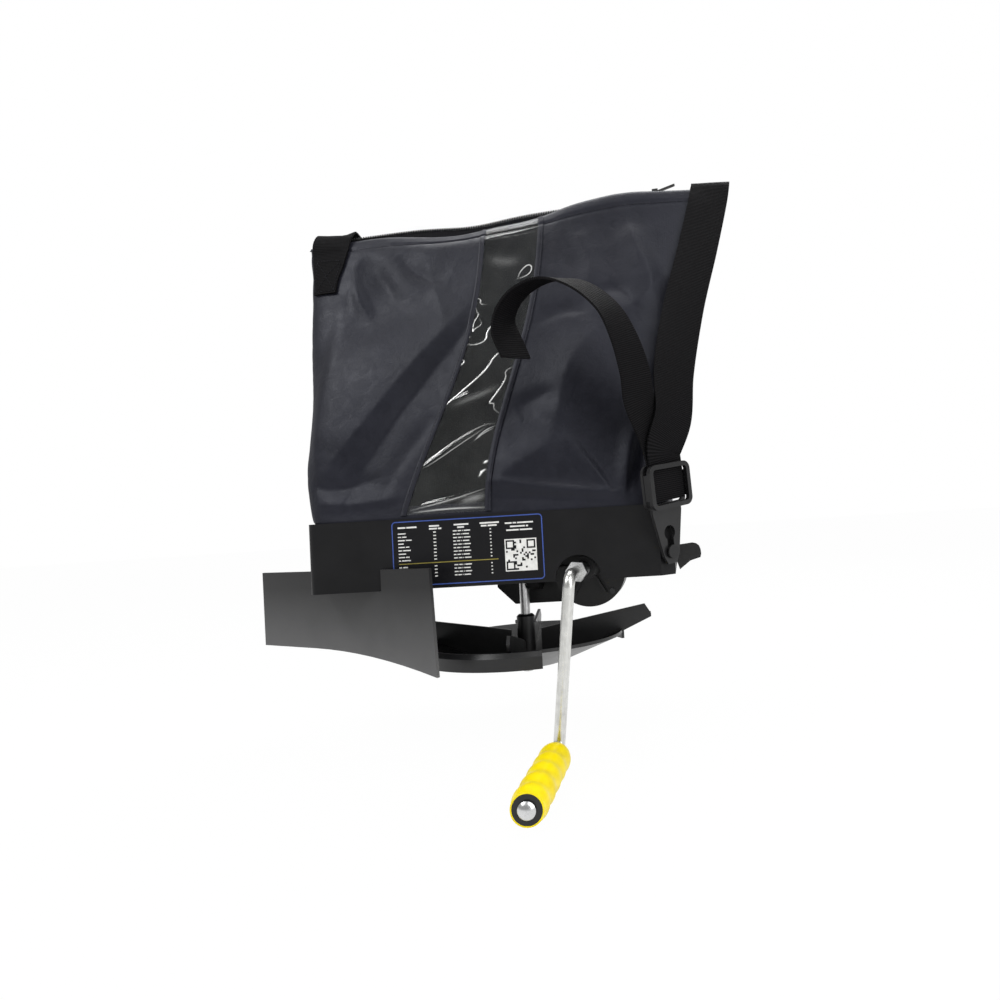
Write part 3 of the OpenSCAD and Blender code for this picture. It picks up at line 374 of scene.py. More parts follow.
def bright_metal(name, dark, light, rough_low, rough_high, along=(1, 1, 1)):
    """Drawn or plated metal: fine lines along the piece, slight blotches and tarnish."""
    finish, skin = new_finish(name, {"Metallic": 1.0})
    lines = cloudy(places(skin, scale=along), 0.0006, 3, 0.6)
    blotch = cloudy(places(skin), 0.014, 5, 0.65)
    mixed = blend(lines, 0.45, blotch)
    coat(skin, tones(mixed, (0.32, dark), (0.66, light)),
         span(mixed, rough_high, rough_low, *MIDDLE))
    relief(skin, lines, 0.00004, 0.4)
    return finish


def yellow_vinyl(name):
    """Soft bright vinyl: light mottling, a satin skin and a fine grain."""
    finish, skin = new_finish(name, {"Specular IOR Level": 0.3, "Subsurface Weight": 0.12,
                                     "Subsurface Radius": (0.004, 0.003, 0.0005)})
    where = places(skin)
    mottle = cloudy(where, 0.012, 4)
    fine = cloudy(where, 0.0006, 2)
    yellows = (0.25, (0.78, 0.60, 0.0)), (0.6, (0.92, 0.74, 0.0)), (0.8, (0.95, 0.79, 0.001))
    coat(skin, tones(mottle, *yellows), span(mottle, 0.44, 0.30, *MIDDLE))
    relief(skin, fine, 0.00005, 0.4)
    return finish


def coated_nylon(name, dark, light):
    """Coated pack cloth: plain weave, soft sheen and fine crumples that are duller than the flats."""
    finish, skin = new_finish(name, {
        "Specular IOR Level": 0.23, "Specular Tint": (0.86, 0.89, 1.0, 1.0),
        "Sheen Weight": 0.03, "Sheen Roughness": 0.45, "Sheen Tint": (0.75, 0.78, 1.0, 1.0)})
    weave = places(skin, "UV")
    cloth = both(ribs(weave, 0.0011, "X", 0.4), ribs(weave, 0.0011, "Y", 0.4))
    broad = cloudy(places(skin), 0.07, 4, 0.6)
    crumple = cloudy(places(skin), 0.011, 5, 0.6, 0.6)
    shade = blend(broad, 0.7, crumple)
    coat(skin, tones(shade, (0.32, dark), (0.68, light)), span(crumple, 0.38, 0.52, *MIDDLE))
    woven = relief(skin, cloth, 0.00012, 0.35)
    relief(skin, crumple, 0.0010, 0.48, woven)
    return finish


def ribbed_webbing(name, dark, light):
    """Strap webbing: heavy ribs across, fine yarns along, a little fuzz."""
    finish, skin = new_finish(name, {"Specular IOR Level": 0.06})
    weave = places(skin, "UV")
    fuzz = cloudy(places(skin), 0.0012, 3)
    cloth = blend(ribs(weave, 0.0017, "X", 0.3), 0.75, ribs(weave, 0.0012, "Y", 0.3))
    shade = blend(cloth, 0.8, fuzz)
    coat(skin, tones(shade, (0.2, dark), (0.85, light)), span(fuzz, 0.62, 0.8, *MIDDLE))
    relief(skin, cloth, 0.00035, 0.8)
    return finish


def clear_vinyl(name):
    """Clear window film: thin and glossy, fine ripples from rolling, with painted white reflections along its
    kinks.
    """
    # The film covers little of what lies behind it, so its index makes up for the share of gloss lost.
    finish, skin = new_finish(name, {"IOR": 3.0})
    where = places(skin)
    wavy = cloudy(where, 0.022, 3, 0.5, 0.8)
    haze = cloudy(where, 0.03, 5, 0.65)
    # Painted reflection: along the kinks the film's colour is painted white and made more opaque.
    mark = add_node(skin, "Attribute")
    mark.attribute_name = "kink_glint_paint"
    painted_glint = mark.outputs["Fac"]
    hazy = (0.35, 0.75)
    coat(skin, tones(painted_glint, (0.0, (0.04, 0.045, 0.042)), (0.5, (0.92, 0.93, 0.92))),
         span(haze, 0.03, 0.10, *hazy))
    film = both(span(haze, 0.09, 0.17, *hazy), span(painted_glint, 0.0, 0.85), "ADD")
    wire(film, skin, "Alpha")
    relief(skin, wavy, 0.0004, 0.15)
    return finish


def printed_film(name, colour, rough=0.32):
    """Printed label film: even ink with a faint screen and small handling marks."""
    finish, skin = new_finish(name, {"Specular IOR Level": 0.2})
    where = places(skin)
    ink = cloudy(where, 0.004, 4)
    screen = cloudy(where, 0.0004, 2)
    low = tuple(c * 0.82 for c in colour)
    coat(skin, tones(ink, (0.3, low), (0.7, colour)),
         span(ink, rough - 0.06, rough + 0.1, *MIDDLE))
    relief(skin, screen, 0.00002, 0.3)
    return finish


def paint(node_names, finish):
    for node_name in node_names.split():
        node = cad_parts[node_name]
        node.data.materials.clear()
        cover(node, finish)


BAG_NYLON = coated_nylon("bag_nylon", (0.006, 0.0062, 0.0096), (0.0135, 0.0138, 0.0200))
TAPE_NYLON = coated_nylon("binding_nylon", (0.008, 0.008, 0.012), (0.018, 0.018, 0.024))
WEBBING = ribbed_webbing("strap_webbing", (0.0018, 0.0018, 0.002), (0.0105, 0.010, 0.011))
WINDOW_VINYL = clear_vinyl("window_vinyl")
ZIP_TAPE = ribbed_webbing("zip_tape", (0.005, 0.005, 0.006), (0.014, 0.014, 0.016))
ZIP_BLACK = moulded_plastic("zip_black", (0.008, 0.008, 0.008), (0.022, 0.022, 0.022), 0.28, 0.4, 0.0004)
THREAD = ribbed_webbing("sewing_thread", (0.018, 0.018, 0.022), (0.04, 0.04, 0.046))
LABEL_BLACK = printed_film("label_black", (0.006, 0.006, 0.0075), 0.42)
LABEL_BLUE = printed_film("label_blue", (0.055, 0.10, 0.36))
LABEL_WHITE = printed_film("label_white", (0.80, 0.80, 0.78))
LABEL_GOLD = printed_film("label_gold", (0.32, 0.27, 0.06))

paint("bag", BAG_NYLON)
paint("bag_window", WINDOW_VINYL)
paint("shoulder_strap strap_tail", WEBBING)
paint("zipper_slider zipper_pull zipper_chain", ZIP_BLACK)
paint("strap_hanger strap_stud grip_plug",
      moulded_plastic("buckle_black", (0.006, 0.006, 0.0065), (0.016, 0.016, 0.017), 0.26, 0.38,
                      grain=0.0006, scuff=0.45, gloss=0.45))
# The deflector's lower part is painted paler: painted light from the floor below.
paint("deflector",
      moulded_plastic("deflector_grey", (0.008, 0.008, 0.0084), (0.016, 0.016, 0.0168), 0.30, 0.40,
                      gloss=0.35, bounce_levels=(-0.085, -0.005)))
paint("hopper_pan",
      moulded_plastic("pan_black", (0.005, 0.005, 0.0055), (0.012, 0.012, 0.013), 0.34, 0.46, gloss=0.18))
paint("bag_frame gate",
      moulded_plastic("frame_black", (0.012, 0.012, 0.012), (0.026, 0.026, 0.027), 0.45, 0.58))
paint("gearbox_case gearbox_cover",
      moulded_plastic("gear_case_black", (0.010, 0.010, 0.010), (0.022, 0.022, 0.023), 0.36, 0.5))
paint("spinner",
      moulded_plastic("spinner_black", (0.007, 0.007, 0.0075), (0.016, 0.016, 0.017), 0.28, 0.40, gloss=0.45))
paint("dial_knob", moulded_plastic("dial_black", (0.014, 0.014, 0.015), (0.03, 0.03, 0.032), 0.34, 0.46))
paint("crank_bush", moulded_plastic("bush_black", (0.008, 0.008, 0.008), (0.018, 0.018, 0.019), 0.35, 0.48))
paint("crank_gear counter_pinion counter_gear spinner_pinion dial_shaft",
      moulded_plastic("gear_nylon", (0.58, 0.56, 0.50), (0.72, 0.70, 0.64), 0.38, 0.5, 0.0008, 0.1))
paint("crank_rod",
      bright_metal("rod_steel", (0.55, 0.55, 0.53), (0.84, 0.84, 0.81), 0.22, 0.38, (1, 1, 0.05)))
paint("crank_shaft countershaft spinner_shaft spinner_pin agitator",
      bright_metal("shaft_steel", (0.40, 0.40, 0.40), (0.66, 0.66, 0.66), 0.24, 0.4, (1, 1, 0.05)))
paint("frame_screws crank_nut rod_cap spinner_nut",
      bright_metal("nut_zinc", (0.52, 0.53, 0.54), (0.80, 0.80, 0.80), 0.20, 0.36))
paint("counter_bush shaft_bush",
      bright_metal("bush_bronze", (0.40, 0.22, 0.08), (0.62, 0.38, 0.16), 0.3, 0.45))
paint("cover_screws case_screws",
      bright_metal("screw_dark", (0.03, 0.03, 0.032), (0.07, 0.07, 0.072), 0.34, 0.5))
paint("grip", yellow_vinyl("grip_yellow"))


# The bag's run of sections, as in the part's source

def bag_left(s):
    return 1 + 16 * s - 49 * np.maximum(s, 0) ** 0.65


def bag_right(s):
    return 323 + 65 * np.maximum(s, 0) ** 1.25


def bag_mid(s):
    return (bag_left(s) + bag_right(s)) / 2


def bag_half_w(s):
    return (bag_right(s) - bag_left(s)) / 2


def bag_half_d(s):
    return 84 * np.maximum(1 - s, 0) ** 0.8 + 5


def bag_square(s):
    return 3.5 + 10.5 * np.maximum(1 - s, 0) ** 3


def bag_tall(x):
    return BAG_HEIGHT + BAG_TOP_RISE * (x - BAG_TOP_X) / BAG_TOP_W


def bag_level(x, s):
    return BAG_FOOT + s * bag_tall(x)


def bag_share(x, z):
    return (z - BAG_FOOT) / bag_tall(x)


def bag_aside(x, s):
    """How far out to the side a place is: 0 in the middle of its section, 1 at the edge."""
    return np.abs(x - bag_mid(s)) / bag_half_w(s)


def bag_front(x, s):
    n = bag_square(s)
    aside = np.minimum(bag_aside(x, s), 1)
    return -bag_half_d(s) * np.maximum(1 - aside ** n, 0) ** (1 / n)


def ease(value, low, high):
    t = np.clip((value - low) / (high - low), 0, 1)
    return t * t * (3 - 2 * t)


def ripple(x, z, size, seed):
    return np.array([noise.noise(Vector((a / size, b / size, seed))) for a, b in zip(x, z)])


def rounded(line, times=3):
    """Cuts the corners of a line of points until it runs smoothly."""
    line = np.array(line, float)
    for _ in range(times):
        first, second = line[:-1], line[1:]
        cut = np.stack([0.75 * first + 0.25 * second, 0.25 * first + 0.75 * second], 1).reshape(-1, 2)
        line = np.concatenate([line[:1], cut, line[-1:]])
    return line


# Widths within which a fold fades out, and how round its ridge is, in widths.
FOLD_REACH, FOLD_NOSE = 3.2, 0.35


def press(x, z, folds, blunt=None):
    """Height of folds: each is a line with a height and a width on either side.

    The ridge is as round as blunt says, or in keeping with the fold's width.
    """
    total = np.zeros_like(x)
    for line, height, wide_left, wide_right in folds:
        line = rounded(line)
        reach = FOLD_REACH * max(wide_left, wide_right)
        low, high = line.min(0) - reach, line.max(0) + reach
        near_by = np.flatnonzero((x > low[0]) & (x < high[0]) & (z > low[1]) & (z < high[1]))
        if not len(near_by):
            continue
        here_x, here_z = x[near_by], z[near_by]
        steps = np.hypot(*np.diff(line, axis=0).T)
        done = np.concatenate([[0], np.cumsum(steps)])
        near = np.full_like(here_x, 1e9)
        side = np.zeros_like(here_x)
        along = np.zeros_like(here_x)
        for a, b, start, step in zip(line[:-1], line[1:], done, steps):
            ux, uz = (b - a) / step
            t = np.clip((here_x - a[0]) * ux + (here_z - a[1]) * uz, 0, step)
            dx, dz = here_x - a[0] - t * ux, here_z - a[1] - t * uz
            gap = np.hypot(dx, dz)
            closer = gap < near
            near = np.where(closer, gap, near)
            side = np.where(closer, ux * dz - uz * dx, side)
            along = np.where(closer, (start + t) / done[-1], along)
        wide = np.where(side > 0, wide_left, wide_right)
        fade = np.sin(math.pi * np.clip(along, 0.03, 0.97)) ** 0.6
        q = near / wide
        nose = FOLD_NOSE if blunt is None else blunt / wide
        total[near_by] += height * fade * np.exp(1.2 * (nose - np.sqrt(q**2 + nose**2)) * (1 + q))
    return total


# Main folds of the front, read off the photograph: points in X and Z, then height and widths.
FRONT_FOLDS = [
    ([(118, 150), (84, 110), (66, 74)], -1.6, 7, 14),
    ([(4, 322), (20, 288), (18, 262)], -1.6, 6, 10),
    ([(10, 322), (44, 262)], -1.4, 7, 10),
    ([(14, 300), (10, 240), (2, 150), (4, 100)], 4.0, 30, 14),
    ([(-2, 92), (21, 82), (60, 90)], -2.8, 10, 7),
    ([(4, 72), (40, 68), (86, 74)], 2.4, 9, 6),
    ([(300, 330), (252, 312), (222, 318)], -1.6, 16, 16),
    ([(258, 262), (288, 266), (300, 240)], -2.2, 6, 12),
    ([(262, 238), (236, 246), (204, 232)], -2.4, 8, 14),
    ([(238, 116), (262, 84), (276, 62)], 4.2, 4, 10),
    ([(166, 84), (208, 77), (250, 70), (292, 64)], 4.4, 4, 10),
    ([(170, 70), (220, 64), (280, 58)], -1.8, 4, 6),
    ([(296, 130), (288, 92), (283, 62)], 4.6, 4, 12),
    ([(312, 170), (304, 120), (296, 70)], -3.6, 8, 6),
    ([(89, 318), (64, 252), (28, 169), (14, 112)], 3.0, 34, 30),
    ([(-12, 252), (50, 250), (112, 270)], -9.0, 50, 40),
    ([(222, 300), (262, 296), (306, 304)], -2.6, 20, 30),
]

# Creases of the front where two flat stretches of cloth meet, and how round their ridges are.
CREASE_BLUNT = 2.5
FRONT_CREASES = [
    ([(24, 320), (48, 298), (70, 258)], -4.0, 18, 30),
    ([(16, 316), (24, 284), (42, 246)], 3.0, 10, 12),
    ([(64, 322), (84, 296), (120, 284)], -4.0, 26, 14),
    ([(146, 262), (107, 223), (57, 158), (4, 90)], 5.5, 17, 60),
    ([(150, 240), (124, 214), (74, 146), (40, 84)], -4.0, 34, 10),
    ([(284, 236), (274, 228), (244, 199), (234, 177), (231, 165), (227, 145), (222, 120)], 8.0, 46, 40),
    ([(228, 164), (212, 160), (186, 148)], -3.0, 18, 12),
    ([(230, 134), (221, 113), (196, 100), (160, 80)], 6.5, 26, 40),
    ([(292, 346), (299, 320), (312, 288), (319, 259), (296, 242), (270, 238)], 6.0, 16, 36),
    ([(244, 330), (262, 296), (256, 262)], 3.0, 26, 18),
]

# Folds of the back, slacker than the front's.
BACK_FOLDS = [
    ([(60, 300), (110, 240), (150, 160)], 2.2, 20, 14),
    ([(300, 310), (250, 250), (220, 170)], 2.4, 14, 22),
    ([(30, 210), (70, 150), (80, 90)], -2.6, 14, 18),
    ([(310, 190), (280, 130), (270, 84)], -2.6, 18, 12),
    ([(40, 84), (120, 76), (200, 80)], 2.2, 8, 8),
    ([(180, 74), (240, 80), (300, 72)], 2.0, 8, 8),
]

# Creases in the clear window that stand up a little, in the same form as the folds.
WINDOW_CREASES = [
    ([(101, 97), (143, 128), (168, 136)], 1.0, 3.0, 2.0),
    ([(122, 155), (142, 166), (173, 173)], 0.9, 4.0, 2.0),
    ([(105, 104), (132, 123), (163, 139)], -0.8, 2.4, 2.4),
    ([(95, 63), (134, 70), (162, 77)], 1.2, 2.6, 3.2),
    ([(160, 318), (180, 312), (200, 316)], -0.6, 6, 6),
    ([(158, 300), (172, 290), (186, 300)], 0.7, 8, 7),
]

# Sharp kinks, with painted white reflections along them: points in X and Z, half width, strength.
WINDOW_GLINT_KINKS = [
    ([(188, 281), (190, 288), (194, 293), (198, 296), (202, 294), (201, 287), (195, 283), (188, 281)],
     0.5, 0.9),
    ([(203, 265), (197, 262), (191, 264), (187, 261), (182, 256)], 0.5, 0.9),
    ([(174, 247), (165, 235), (159, 226), (160, 222), (157, 217), (147, 214), (138, 217)], 0.5, 0.9),
    ([(148, 258), (147, 262), (150, 263), (153, 261), (152, 258), (154, 256), (159, 256)], 0.4, 0.7),
    ([(148, 256), (149, 248), (152, 246), (146, 238), (146, 227), (147, 231), (155, 235), (152, 241)],
     0.4, 0.8),
    ([(141, 226), (144, 223), (139, 220)], 0.4, 0.7),
    ([(175, 216), (176, 209), (166, 200), (163, 194), (157, 186), (142, 173), (121, 155)], 0.6, 1.0),
    ([(132, 200), (136, 201), (140, 198), (131, 192)], 0.5, 0.8),
    ([(152, 332), (172, 336), (196, 340)], 0.8, 0.5), ([(155, 329), (177, 331), (207, 335)], 0.4, 0.3),
    ([(185, 190), (177, 186), (179, 179), (170, 165), (162, 155), (168, 156), (167, 150), (172, 146)],
     0.5, 0.9),
    ([(102, 98), (104, 103), (132, 122), (159, 136), (169, 136)], 0.5, 0.55),
    ([(102, 98), (110, 101), (139, 120), (159, 132)], 0.45, 0.5),
    ([(150, 121), (159, 130), (169, 134)], 0.4, 0.7), ([(150, 121), (159, 128), (168, 132)], 0.4, 0.6),
    ([(155, 88), (158, 93), (161, 94)], 1.0, 1.0), ([(159, 100), (163, 102)], 1.1, 1.0),
    ([(94, 61), (109, 64), (137, 70), (161, 77)], 0.6, 0.45), ([(96, 59), (128, 61), (163, 60)], 0.9, 0.5),
    ([(129, 156), (144, 161), (159, 166), (171, 172)], 3.4, 0.16),
    ([(139, 66), (152, 69), (161, 71)], 4.0, 0.22),
    ([(160, 306), (176, 300), (190, 302)], 7.0, 0.10),
]

# The window's edges: X for each level.
EDGE_LEVELS = (60, 100, 158, 200, 255, 300, 345)
LEFT_EDGE = np.polyfit(EDGE_LEVELS, (89, 101, 121, 135, 147, 150.5, 151), 4)
RIGHT_EDGE = np.polyfit(EDGE_LEVELS, (163, 166, 178, 190, 203, 207.5, 209), 4)

# How far the sewn top edge stands above or below the zipper's line.
TOP_X = (-60, -32, 44, 70, 85, 112, 135, 150, 205, 225, 240, 257, 293, 335, 375, 410)
TOP_RISE = (0.0, -1.5, -1.0, -4.0, -7.0, -10.0, -11.0, -8.0, -5.0, 1.0, 4.5, 6.0, 9.0, 5.0, 2.0, 1.5)


def top_rise(x):
    return sum(np.interp(x + d, TOP_X, TOP_RISE) for d in (-16, -8, 0, 8, 16)) / 5


def follow_top(x, y, z):
    """Moves places on the front with the top edge, by more the nearer they are to it."""
    near_top = ease(bag_share(x, z), TOP_FROM, 1.0)
    return y - np.maximum(top_rise(x), 0) * TOP_LEAN * near_top, z + top_rise(x) * near_top


def meet_top(x, z, up, end, gap):
    """Stretches an upright strip's upper part, to end a gap below the sloping top edge."""
    return z + (bag_level(x, 1.0) - gap - end) * up ** 6


def slack(s):
    """How loose the cloth hangs: not at all at the rim, a little at the zipper, fully between."""
    return ease(s, 0.0, 0.06) * (1 - 0.85 * ease(s, 0.88, 0.99))


def window_edges(z, lap=0.0):
    return np.polyval(LEFT_EDGE, z) - lap, np.polyval(RIGHT_EDGE, z) + lap


def front_stand(x, z):
    """How far the front cloth stands out from the bag's plain section."""
    s = bag_share(x, z)
    left, right = window_edges(z)
    calm = 1 - 0.95 * ease(x, left - 12, left + 6) * (1 - ease(x, right - 6, right + 12))
    aside = 1 - ease(bag_aside(x, s), 0.90, 1.0)
    strap_clear = 1 - 0.9 * ease(x, *BESIDE_STRAP) * ease(s, 0.3, 0.45)
    stand = (press(x, z, FRONT_FOLDS) + press(x, z, FRONT_CREASES, CREASE_BLUNT)) * calm
    stand = stand + 0.6 * ripple(x, z, 52.0, 3.1) + 0.35 * ripple(x, z, 19.0, 8.7)
    below = bag_level(x, 1.0) - z
    seam = -0.9 * np.exp(-(((below - HEM_DROP) / 1.3) ** 2))
    double = 0.5 * (1 - ease(below, HEM_DROP - 2, HEM_DROP))
    pucker = 0.4 * ripple(x, z * 0.2, 9.0, 5.0) * np.exp(-(((below - HEM_DROP) / 9.0) ** 2))
    return stand * slack(s) * aside * strap_clear + (seam + double + pucker) * aside


def front_place(x, z, out):
    s = np.clip(bag_share(x, z), 0, 1)
    return bag_front(x, s) - front_stand(x, z) - out


def back_stand(x, z):
    s = bag_share(x, z)
    aside = 1 - ease(bag_aside(x, s), 0.88, 1.0)
    stand = press(x, z, BACK_FOLDS) + 0.8 * ripple(x, z, 50.0, 21.0)
    return 0.55 * stand * slack(s) * aside


def bag_ring(s, shares):
    """Points of one section at even steps round it, from the left by the front to the right."""
    turn = math.pi + 2 * math.pi * np.linspace(0, 1, 2401)
    n = bag_square(s)
    reach = (np.abs(np.cos(turn)) ** n + np.abs(np.sin(turn)) ** n) ** (-1 / n)
    x = bag_mid(s) + bag_half_w(s) * reach * np.cos(turn)
    y = bag_half_d(s) * reach * np.sin(turn)
    ring = np.stack([x, y], 1)
    done = walked(ring)
    return along_line(ring, done, shares * done[-1]).T


def make_bag():
    bag, around, up = cloth_grid("bag_cloth", *BAG_GRID)
    # Most of the columns go to the front, which runs over the first half of the way round.
    around = np.interp(around, (0, 0.04, 0.70, 0.74, 1), (0, 0.075, 0.425, 0.5, 1))
    s = np.clip((up - RIM_ROWS) / WALL_ROWS, 0, 1)
    x, y = np.empty_like(s), np.empty_like(s)
    for level in np.unique(up.round(6)):
        row = np.abs(up - level) < 1e-5
        x[row], y[row] = bag_ring(s[row][0], around[row])
    z = bag_level(x, s)
    front = y < 0
    stand = np.where(front, front_stand(x, z), back_stand(x, z))
    y = y + np.where(front, -stand, stand)
    # The sides are tucked in a little, as sewn corners pull.
    edge = ease(bag_aside(x, s), 0.93, 1.0)
    tuck = 2.4 * ripple(z, y, 38.0, 14.0) + 1.4 * np.sin(z / 21.0)
    x = x - np.sign(x - bag_mid(s)) * edge * tuck * ease(s, 0.02, 0.12) * (1 - ease(s, 0.85, 0.97))
    # The lowest rows go down inside the rim, drawn in a little all round.
    rim = 1 - ease(up, 0.0, RIM_ROWS)
    z = z - RIM_DEPTH * rim
    x = bag_mid(s) + (x - bag_mid(s)) * (1 - 0.018 * rim)
    y = y * (1 - 0.035 * rim)
    # The top edge waves, half as much at the back, and its last rows turn in over the zipper tape.
    near_top = ease(s, TOP_FROM, 1.0)
    rise = top_rise(x)
    z = z + np.where(front, rise, 0.5 * rise) * near_top
    y = y + np.where(front, -TOP_LEAN, TOP_LEAN) * np.maximum(rise, 0) * near_top
    turned = ease(up, TURN_FROM, 1.0)
    z = z - TURN_DEPTH * turned
    y = y + np.where(front, TURN_IN, -TURN_IN) * turned
    lay(bag, x, y, z)
    size_uv(bag, *BAG_CUT)
    choose_faces(bag, lambda face: behind_window(face.center))
    bpy.ops.mesh.delete(type="FACE")
    choose_all()
    bpy.ops.mesh.remove_doubles(threshold=0.00005)
    leave()
    outward(bag)
    work(bag, "SOLIDIFY", thickness=CLOTH_T * MM, offset=-1.0, use_even_offset=False)
    return smooth(bag, 60)


def behind_window(spot):
    x, y, z = spot * 1000
    if y > 0 or not OPENING_LOW < z < bag_level(x, 1.0) - HEM_DROP:
        return False
    left, right = window_edges(z, -OPENING_LAP)
    return left < x < right


def make_window():
    window, across, up = cloth_grid("window_sheet", *WINDOW_GRID)
    z = WINDOW_LOW + (WINDOW_HIGH - WINDOW_LOW) * up
    left, right = window_edges(z, WINDOW_LAP)
    x = left + (right - left) * across
    z = meet_top(x, z, up, WINDOW_HIGH, 1.5)
    crease = press(x, z, WINDOW_CREASES) * np.sin(math.pi * np.clip(across, 0, 1)) ** 0.5
    crease = crease + 0.05 * ripple(x, z, 24.0, 2.2) * np.sin(math.pi * np.clip(across, 0, 1))
    # Painted reflection: how white the film is painted along each kink, stored on its points.
    painted_glint = np.zeros_like(x)
    for line, wide, strength in WINDOW_GLINT_KINKS:
        painted_glint = np.maximum(painted_glint, press(x, z, [(line, strength, wide, wide)]))
    crease = crease + 0.35 * np.where(painted_glint > 0.3, painted_glint, 0)
    y, z = follow_top(x, front_place(x, z, WINDOW_OUT) - np.maximum(crease, -0.3), z)
    lay(window, x, y, z)
    mark = window.data.attributes.new("kink_glint_paint", "FLOAT", "POINT")
    mark.data.foreach_set("value", np.clip(painted_glint, 0, 1))
    size_uv(window, *WINDOW_CUT)
    return thicken(window, WINDOW_T, 80)


def make_binding(name, edge, inward):
    tape, across, up = cloth_grid(name, 5, 220)
    z = WINDOW_LOW + BINDING_LEN * up
    x = np.polyval(edge, z) + inward * (BINDING_LAP - BINDING_W * across)
    z = meet_top(x, z, up, WINDOW_LOW + BINDING_LEN, 1.0)
    crown = 0.5 * (1 - (2 * across - 1) ** 2)
    y, z = follow_top(x, front_place(x, z, BINDING_OUT) - crown, z)
    lay(tape, x, y, z)
    size_uv(tape, BINDING_W * MM, WINDOW_CUT[1])
    return thicken(tape, BINDING_T, 60)


def smooth_route(stations, count):
    """Even steps along a smooth curve through the stations: places, outward normals, length."""
    at = np.array([s[0] for s in stations], float)
    out = np.array([s[1] for s in stations], float)
    out /= np.linalg.norm(out, axis=1)[:, None]
    steps = np.linalg.norm(np.diff(at, axis=0), axis=1) ** 0.5
    knots = np.concatenate([[0], np.cumsum(steps)])

    def curve(values, u):
        slopes = np.empty_like(values)
        rates = np.diff(values, axis=0) / np.diff(knots)[:, None]
        slopes[1:-1] = (rates[:-1] * steps[1:, None] + rates[1:] * steps[:-1, None]) / (
            steps[1:] + steps[:-1])[:, None]
        slopes[0], slopes[-1] = rates[0], rates[-1]
        i = np.clip(np.searchsorted(knots, u, "right") - 1, 0, len(steps) - 1)
        h = steps[i][:, None]
        t = (u - knots[i])[:, None] / h
        return ((2 * t**3 - 3 * t**2 + 1) * values[i] + (t**3 - 2 * t**2 + t) * h * slopes[i]
                + (3 * t**2 - 2 * t**3) * values[i + 1] + (t**3 - t**2) * h * slopes[i + 1])

    u = np.linspace(0, knots[-1], count * 8)
    spots, faces = curve(at, u), curve(out, u)
    done = walked(spots)
    even = np.linspace(0, done[-1], count)
    return along_line(spots, done, even), along_line(faces, done, even), done[-1]


def make_webbing(name, stations, count, narrow=None):
    """Band along a route; if its first end is sewn down narrower, it widens from that width."""
    spots, faces, length = smooth_route(stations, count + 1)
    run = np.gradient(spots, axis=0)
    run /= np.linalg.norm(run, axis=1)[:, None]
    faces = faces - (faces * run).sum(1)[:, None] * run
    faces /= np.linalg.norm(faces, axis=1)[:, None]
    side = np.cross(faces, run)
    strap, along, across = cloth_grid(name, count, 8)
    i = np.clip(np.rint(along * count).astype(int), 0, count)
    off = 2 * across - 1
    half = np.full_like(off, STRAP_W / 2)
    if narrow:
        half = narrow / 2 + (STRAP_W - narrow) / 2 * ease(along * length, *SEWN_TAPER)
    place = spots[i] + side[i] * (off * half)[:, None] + faces[i] * (0.25 * (1 - off**2))[:, None]
    x, y, z = place.T
    if narrow:
        inside = np.maximum(x, bag_left(np.clip(bag_share(x, z), 0, 1)) + 5)
        sewn = front_place(inside, z, SEWN_OUT)
        y = sewn + (y - sewn) * ease(along * length, *SEWN_LIFT)
    lay(strap, x, y, z)
    size_uv(strap, length * MM, STRAP_W * MM)
    return thicken(strap, STRAP_T, 50)


# Strap, in millimetres: its clearances, and where along it the sewn end widens and lifts.
STRAP_OFF, BACK_OFF = 1.6, 3.5
ZIP_LIFT, ZIP_H, ZIP_CLEAR = 0.3, 3, 2.4
SEWN_TAPER, SEWN_LIFT, SEWN_OUT = (4, 52), (42, 60), 1.7
# Hook plate at the pan's chamfered corner: foot, lean and tilt, then gap and thickness.
HANGER_AT, HANGER_LEAN, HANGER_TILT = (318, -84, 12), math.radians(8), math.radians(4)
HANGER_GAP, HANGER_T = 2.6, 3
DIAG = math.sqrt(0.5)
HANGER_FACE = (DIAG, -DIAG, 0)


def over_zip(x, y):
    return [x, y, float(bag_level(x, 1.0)) + ZIP_LIFT + ZIP_H + ZIP_CLEAR + STRAP_T / 2]


def on_front(x, edge, s, more):
    return [x, float(bag_front(x + edge, s)) - STRAP_OFF - more, float(bag_level(x, s))]


def on_back(x, edge, s, more=BACK_OFF):
    return [x, STRAP_OFF + more - float(bag_front(x + edge, s)), float(bag_level(x, s))]


def on_hanger(h, out):
    u, v = -h * math.sin(HANGER_LEAN), h * math.cos(HANGER_LEAN)
    d = HANGER_GAP + v * math.tan(HANGER_TILT) + HANGER_T / math.cos(HANGER_TILT) + out
    x, y, z = HANGER_AT
    return [x + DIAG * (u + d), y + DIAG * (u - d), z + v]


